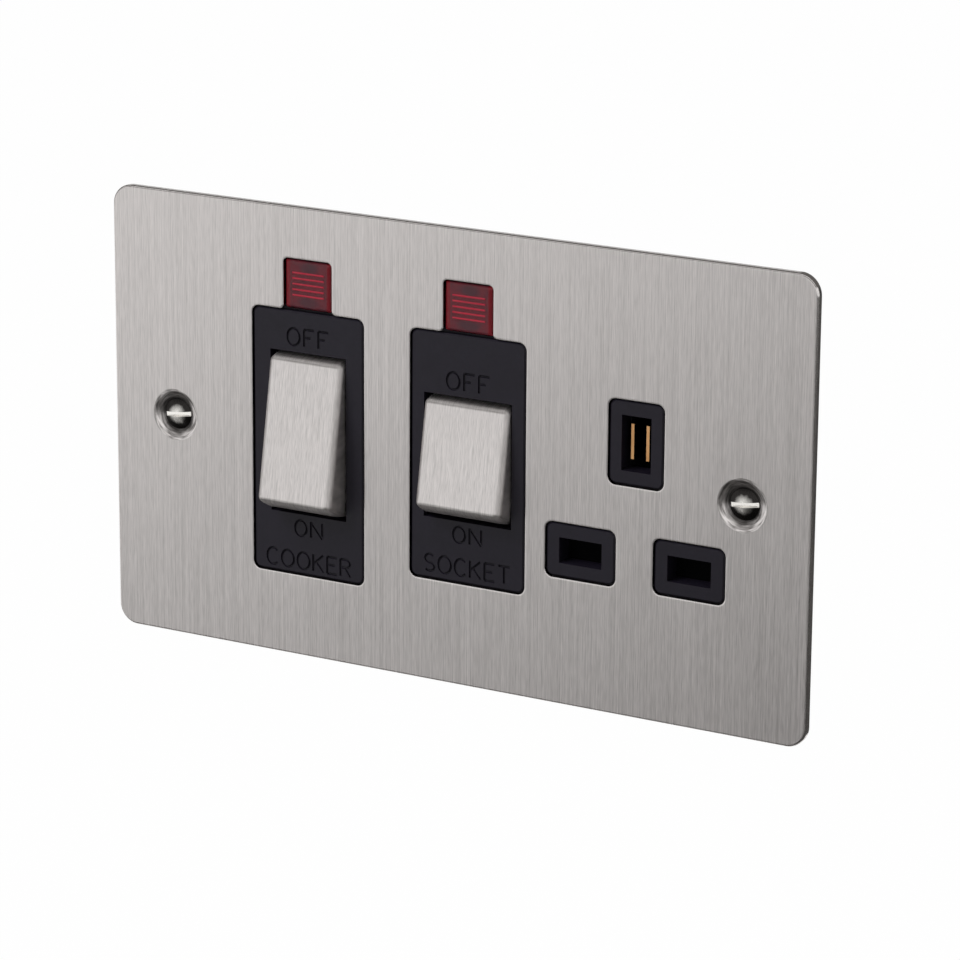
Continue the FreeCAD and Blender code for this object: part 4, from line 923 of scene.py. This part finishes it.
@dataclass
class LampWindow:
    """Red lamp window over a switch: a clear skin, a frosted diffuser and ribs with a bright red painted
    highlight.
    """

    name: str
    x: float
    z: float = LENS_Z
    face: Point = (10.2, 9.5)
    margin: float = 0.1
    round_r: float = 0.42
    diffuser_y: Span = (-1.5, -0.6)
    ribs: int = 5
    rib_pitch: float = 1.07
    rib_length: float = 6.8
    rib_width: float = 0.36
    rib_sides: int = 10
    rib_y: float = -1.52

    def rib_tree(self) -> NodeTree:
        """Lay round-backed ribs one above the other.

        Returns:
            The tree, which both windows share.
        """
        found = bpy.data.node_groups.get("lens_ribs")
        if found:
            return found
        tree, given = begin_tree("lens_ribs", {
            "Ribs": "Int", "Pitch": "Vector", "Start": "Vector",
            "Width": "Float", "Length": "Float", "Finish": "Material"})
        rows = add(tree, "GeometryNodeMeshLine", {
            "Count": given["Ribs"], "Start Location": given["Start"], "Offset": given["Pitch"],
        }, mode="OFFSET")
        half = add(tree, "ShaderNodeMath", {0: given["Width"], 1: 0.5}, operation="MULTIPLY")
        bar = add(tree, "GeometryNodeMeshCylinder", {
            "Vertices": self.rib_sides, "Radius": half, "Depth": given["Length"]})
        laid = add(tree, "GeometryNodeTransform", {"Geometry": bar, "Rotation": (0.0, math.pi / 2, 0.0)})
        end_tree(tree, rows, laid, given["Finish"])
        return tree

    def build(self) -> None:
        """Make the skin, the diffuser and its ribs."""
        node = self.name + "_neon_lens"
        skin = merged_copy(node, self.name + "_lens_skin")
        adopt(dress(skin, LENS_SKIN, Crease.FORMED), "unit", Slot.RED, node)
        half_w = self.face[0] / 2 - self.margin
        half_h = self.face[1] / 2 - self.margin
        low = (self.x - half_w, self.diffuser_y[0], self.z - half_h)
        high = (self.x + half_w, self.diffuser_y[1], self.z + half_h)
        block = block_mesh(self.name + "_diffuser", low, high, self.round_r)
        diffuser = new_piece(self.name + "_lens_diffuser", block)
        adopt(dress(diffuser, LENS_BACK, Crease.BEVELLED), "unit", Slot.RED)
        bottom = self.z - (self.ribs - 1) / 2 * self.rib_pitch
        ribs = grow(self.name + "_lens_ribs", ((0, 0, 0),), self.rib_tree(), {
            "Ribs": self.ribs, "Pitch": (0.0, 0.0, self.rib_pitch * MM),
            "Start": (self.x * MM, self.rib_y * MM, bottom * MM),
            "Width": self.rib_width * MM, "Length": self.rib_length * MM, "Finish": RIB_HIGHLIGHT.material()})
        adopt(dress(ribs, RIB_HIGHLIGHT, Crease.ROUND), "unit", Slot.RED)


@dataclass
class FixingScrews:
    """Two raised countersunk slotted screws with rolled threads."""

    places: tuple[Place, Place] = ((-SCREW_X, 0, 0), (SCREW_X, 0, 0))
    sides: int = 64
    head_r: float = 2.95
    rim_y: float = -0.98
    rim_land: float = 0.08
    rise: float = 0.65
    crown_steps: int = 10
    slot_w: float = 0.9
    slot_y: float = -0.78
    slot_turn: float = 6.2
    overshoot: Point = (1.0, 2.0)
    neck_y: float = 0.52
    thread_y: float = 1.9
    thread_stop: float = 1.2
    thread_steps: int = 20
    thread_sides: int = 4
    core_r: float = 1.45
    thread_r: float = 1.72
    thread_pitch: float = 0.6
    end_y: float = 22.0
    point_r: float = 0.7
    point_length: float = 0.7

    def profile(self) -> list[Point]:
        """Draw one screw's outline from its crown to its point.

        Returns:
            Radius and depth of each point, in millimetres.
        """
        crown = (self.head_r ** 2 + self.rise ** 2) / (2 * self.rise)
        points = []
        for i in range(self.crown_steps + 1):
            r = self.head_r * i / self.crown_steps
            points.append((r, self.rim_y - self.rise + crown - math.sqrt(crown ** 2 - r ** 2)))
        points.append((self.head_r, self.rim_y + self.rim_land))
        points += [(self.core_r, self.neck_y), (self.core_r, self.end_y - self.point_length)]
        return points + [(self.point_r, self.end_y), (0, self.end_y)]

    def body_mesh(self) -> Mesh:
        """Turn both screws about their axes.

        Returns:
            One closed mesh of the two.
        """
        work = bmesh.new()
        turns = [2 * math.pi * i / self.sides for i in range(self.sides)]
        for cx, _, cz in self.places:
            rings = []
            for r, y in self.profile():
                stops = turns if r else turns[:1]
                corners = [Vector((cx + r * math.cos(t), y, cz + r * math.sin(t))) for t in stops]
                rings.append([work.verts.new(corner * MM) for corner in corners])
            for a, b in zip(rings, rings[1:]):
                for i in range(self.sides):
                    j = (i + 1) % self.sides
                    corners = [a[i % len(a)], a[j % len(a)], b[j % len(b)], b[i % len(b)]]
                    work.faces.new(list(dict.fromkeys(corners)))
        bmesh.ops.recalc_face_normals(work, faces=work.faces)
        mesh = bpy.data.meshes.new("fixing_screws")
        work.to_mesh(mesh)
        work.free()
        return mesh

    def thread_tree(self) -> NodeTree:
        """Wind a thread ridge and put one on each screw.

        Returns:
            The tree.
        """
        tree, given = begin_tree("screw_thread", {
            "Radius": "Float", "Turns": "Float", "Length": "Float",
            "Ridge": "Float", "Start": "Vector", "Finish": "Material"})
        path = add(tree, "GeometryNodeCurveSpiral", {
            "Resolution": self.thread_steps, "Rotations": given["Turns"], "Start Radius": given["Radius"],
            "End Radius": given["Radius"], "Height": given["Length"]})
        upright = add(tree, "GeometryNodeSetCurveNormal", {"Curve": path}, mode="Z_UP")
        ridge = add(tree, "GeometryNodeCurvePrimitiveCircle", {
            "Resolution": self.thread_sides, "Radius": given["Ridge"]})
        wound = add(tree, "GeometryNodeCurveToMesh", {
            "Curve": upright, "Profile Curve": ridge, "Fill Caps": True})
        laid = add(tree, "GeometryNodeTransform", {
            "Geometry": wound, "Rotation": (-math.pi / 2, 0.0, 0.0), "Translation": given["Start"]})
        end_tree(tree, given["Geometry"], laid, given["Finish"])
        return tree

    def build(self) -> None:
        """Turn the screws, cut their slots and wind their threads."""
        screws = new_piece("fixing_screws", self.body_mesh())
        half_w = self.slot_w / 2
        half_l = self.head_r + self.overshoot[0]
        for cx, _, cz in self.places:
            low = (cx - half_l, self.rim_y - self.overshoot[1], cz - half_w)
            high = (cx + half_l, self.slot_y, cz + half_w)
            slot = block_mesh("slot", low, high, 0.0)
            axis = Matrix.Translation((cx * MM, 0.0, cz * MM))
            slot.transform(axis @ Matrix.Rotation(-math.radians(self.slot_turn), 4, "Y") @ axis.inverted())
            carve(screws, slot)
        adopt(dress(screws, SCREW_HEAD, Crease.TURNED), "unit", Slot.NICKEL, "mounting_screws")
        ridge = self.thread_r - self.core_r
        length = self.end_y - self.thread_y - self.thread_stop
        threads = grow("fixing_screw_threads", self.places, self.thread_tree(), {
            "Radius": self.core_r * MM, "Turns": length / self.thread_pitch, "Length": length * MM,
            "Ridge": ridge * MM, "Start": (0.0, self.thread_y * MM, 0.0), "Finish": NICKEL.material()})
        adopt(dress(threads, NICKEL, Crease.THREAD), "unit", Slot.NICKEL)


@dataclass
class ShutterSpring:
    """Coil under the shutter, which shortens as the shutter comes down on it."""

    node: str = "shutter_spring"
    joint: str = "shutter_slide"

    def build(self) -> None:
        """Dress the coil as a copy with a mesh of its own."""
        coil = merged_copy(self.node, self.node + "_dressed")
        adopt(dress(coil, WIRE, Crease.ROUND), "unit", Slot.SPRING, self.node)
        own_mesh(coil)


@dataclass
class DressedNodes:
    """CAD pieces whose shape is right: outer ones get soft rounds, inner ones a finish."""

    outer: tuple[tuple[str, str, Finish], ...] = (
        ("front_plate", "unit", STEEL_PLATE),
        ("plate_gasket", "unit", FOAM),
        ("rear_housing", "unit", HOUSING_UREA),
        ("housing_screws", "unit", ZINC),
        ("plate_nuts", "unit", ZINC),
        ("terminal_screws", "unit", ZINC),
        ("earth_contact", "unit", STRIP),
        ("earth_terminal", "unit", BRASS),
        ("plate_earth_strap", "unit", COPPER),
        *((f"{wire}_terminal_{pole}", "unit", BRASS) for wire in ("supply", "cooker")
          for pole in ("line", "neutral")),
        ("shutter", "shutter", SHADED_UREA),
        ("cooker_rocker_cap", "cooker_rocker", STEEL_CAP),
        ("socket_rocker_cap", "socket_rocker", STEEL_CAP),
        ("cooker_rocker_body", "cooker_rocker", BLACK_UREA),
        ("socket_rocker_body", "socket_rocker", BLACK_UREA),
    )
    flat_fronted: str = "front_plate"

    def build(self) -> None:
        """Dress the outer pieces as copies and give every inner node its finish."""
        slots = {row["node"]: Slot(row["material_slot"]) for row in frame["record"]["subparts"]}
        for node, body, finish in self.outer:
            piece = dress(merged_copy(node, node + "_dressed"), finish, Crease.FORMED)
            if node == self.flat_fronted:
                level(piece)
            adopt(piece, body, slots[node], node)
        for node, inner in frame["nodes"].items():
            if not inner.hide_render:
                inner.data.materials.clear()
                inner.data.materials.append(INNER_FINISH[slots[node]].material())
                LOG.info("%s keeps its solid as %s", node, slots[node].value)


@dataclass(frozen=True)
class StageSheet:
    """A flat sheet of the studio: its place along an axis and its outline, in millimetres."""

    name: str
    axis: Axis
    height: float
    outline: tuple[Point, ...]

    def lay(self, paint: Material) -> Object:
        """Put the sheet on the stage.

        Args:
            paint: Its material.

        Returns:
            The sheet.
        """
        corners = []
        for point in self.outline:
            corner = list(point)
            corner.insert(self.axis.value, self.height)
            corners.append(Vector(corner) * MM)
        mesh = bpy.data.meshes.new(self.name)
        mesh.from_pydata(corners, [], [tuple(range(len(corners)))])
        mesh.materials.append(paint)
        piece = new_piece(self.name, mesh)
        return piece


@dataclass(frozen=True)
class Card(StageSheet):
    """A grey card that only reflections show, as a photographer sets round metal."""

    shade: str

    def build(self) -> None:
        """Paint the card and hide it from all but reflections."""
        paper = bpy.data.materials.new(self.name)
        tree = empty_tree(paper)
        dull = add(tree, "ShaderNodeEmission", {"Color": self.shade, "Strength": 1.0})
        add(tree, "ShaderNodeOutputMaterial", {"Surface": dull})
        card = self.lay(paper)
        card.visible_camera = False
        card.visible_diffuse = False
        card.visible_shadow = False


def seen(tree: NodeTree) -> Node:
    """Tell rays from the camera, a reflection or a clear body from the rest.

    Args:
        tree: Tree of the floor or the world.

    Returns:
        Node that gives 1 for those rays and 0 for others.
    """
    path = add(tree, "ShaderNodeLightPath").outputs
    first = add(tree, "ShaderNodeMath", {
        0: path["Is Camera Ray"], 1: path["Is Glossy Ray"]}, operation="MAXIMUM")
    return add(tree, "ShaderNodeMath", {0: first, 1: path["Is Transmission Ray"]}, operation="MAXIMUM")


# Heights of the card below and of the cards overhead
LOW, HIGH = -250.0, 450.0

# The rockers mirror the pale floor through the low card's first notch, and the plate through its second
LOW_OUTLINE: tuple[Point, ...] = (
    (-381, -1500), (1500, -1500), (1500, 1500), (150, 1500), (150, 0), (-563, 0),
    (-531, -260), (-110, -260), (-110, -380), (-517, -380),
    (-487, -628), (-267, -628), (-267, -888), (-455, -888),
)


@dataclass
class Studio:
    """Camera at the photograph's angle, pale floor far below, and soft light from the upper left."""

    azimuth: float = 29.397
    elevation: float = 16.041
    roll: float = 0.404
    distance: float = 788.68
    target: Place = (6.54, -1.75, -3.18)
    focal_pixels: float = 4280.9
    picture: int = 960
    sensor: float = 36.0
    clip: Span = (50.0, 50000.0)
    fill: float = 0.45
    floor: StageSheet = StageSheet("floor", Axis.Z, -500.0, rectangle((-9000, -9000), (9000, 9000)))
    floor_paint: str = "#F4F4F4"
    floor_white: float = 0.985
    cards: tuple[Card, ...] = (
        Card("low_card", Axis.Z, LOW, LOW_OUTLINE, "#535251"),
        Card("front_card", Axis.Z, HIGH, rectangle((-1500, -900), (1000, -310)), "#6C6A68"),
        Card("overhead_card", Axis.Z, HIGH, rectangle((-1500, -100), (1000, 1500)), "#6C6A68"),
        Card("left_card", Axis.X, -1200.0, rectangle((-500, -150), (500, 600)), "#5E5C5A"),
        Card("back_card", Axis.Y, 1500.0, rectangle((200, LOW), (1400, HIGH)), "#4A4948"),
    )
    key_place: Place = (-550, -750, 950)
    key_size: Point = (800, 600)
    key_power: float = 14.0

    def set_camera(self) -> None:
        """Place the camera."""
        a, e, r = (math.radians(v) for v in (self.azimuth, self.elevation, self.roll))
        back = Vector((math.sin(a) * math.cos(e), -math.cos(a) * math.cos(e), math.sin(e)))
        right = Vector((math.cos(a), math.sin(a), 0.0))
        up = back.cross(right)
        across = math.cos(r) * right + math.sin(r) * up
        over = -math.sin(r) * right + math.cos(r) * up
        data = bpy.data.cameras.new("camera")
        data.sensor_width = self.sensor
        data.lens = self.sensor * self.focal_pixels / self.picture
        data.clip_start = self.clip[0] * MM
        data.clip_end = self.clip[1] * MM
        camera = new_piece("camera", data)
        place = (Vector(self.target) + back * self.distance) * MM
        axes = Matrix((across, over, back)).transposed().to_4x4()
        camera.matrix_world = Matrix.Translation(place) @ axes
        bpy.context.scene.camera = camera

    def set_world(self) -> None:
        """Fill evenly and softly, white where it is seen."""
        world = bpy.data.worlds.new("studio")
        tree = empty_tree(world)
        fill = add(tree, "ShaderNodeBackground", {"Color": WHITE, "Strength": self.fill})
        white = add(tree, "ShaderNodeBackground", {"Color": WHITE, "Strength": 1.0})
        mixed = add(tree, "ShaderNodeMixShader", {0: seen(tree), 1: fill, 2: white})
        add(tree, "ShaderNodeOutputWorld", {"Surface": mixed})
        bpy.context.scene.world = world

    def lay_floor(self) -> None:
        """Lay a pale floor that shows white and still takes the shadow."""
        paint = bpy.data.materials.new("floor_paint")
        tree = empty_tree(paint)
        matt = add(tree, "ShaderNodeBsdfDiffuse", {"Color": self.floor_paint})
        white = add(tree, "ShaderNodeEmission", {"Color": WHITE, "Strength": 1.0})
        share = add(tree, "ShaderNodeMath", {0: seen(tree), 1: self.floor_white}, operation="MULTIPLY")
        mixed = add(tree, "ShaderNodeMixShader", {0: share, 1: matt, 2: white})
        add(tree, "ShaderNodeOutputMaterial", {"Surface": mixed})
        self.floor.lay(paint)

    def hang_lamp(self) -> None:
        """Hang a large soft lamp turned to the object, left out of reflections."""
        data = bpy.data.lights.new("key", "AREA")
        data.shape = "RECTANGLE"
        data.size = self.key_size[0] * MM
        data.size_y = self.key_size[1] * MM
        data.energy = self.key_power
        lamp = new_piece("key", data)
        lamp.location = Vector(self.key_place) * MM
        lamp.rotation_mode = "QUATERNION"
        lamp.rotation_quaternion = (-Vector(self.key_place)).to_track_quat("-Z", "Y")
        lamp.visible_glossy = False

    def build(self) -> None:
        """Set up the camera, world, floor, the cards that give the steel its dark sides, and the lamp."""
        self.set_camera()
        self.set_world()
        self.lay_floor()
        for card in self.cards:
            card.build()
        self.hang_lamp()
        bpy.context.scene.view_settings.view_transform = "Standard"


def main() -> None:
    """Build the pieces in order."""
    logging.basicConfig(level=logging.INFO, format="%(message)s")
    Studio().build()
    PadMoulding().build()
    for window in (LampWindow("cooker", COOKER_X), LampWindow("socket", SOCKET_X)):
        window.build()
    FixingScrews().build()
    ShutterSpring().build()
    DressedNodes().build()


if __name__ == "__main__":
    main()
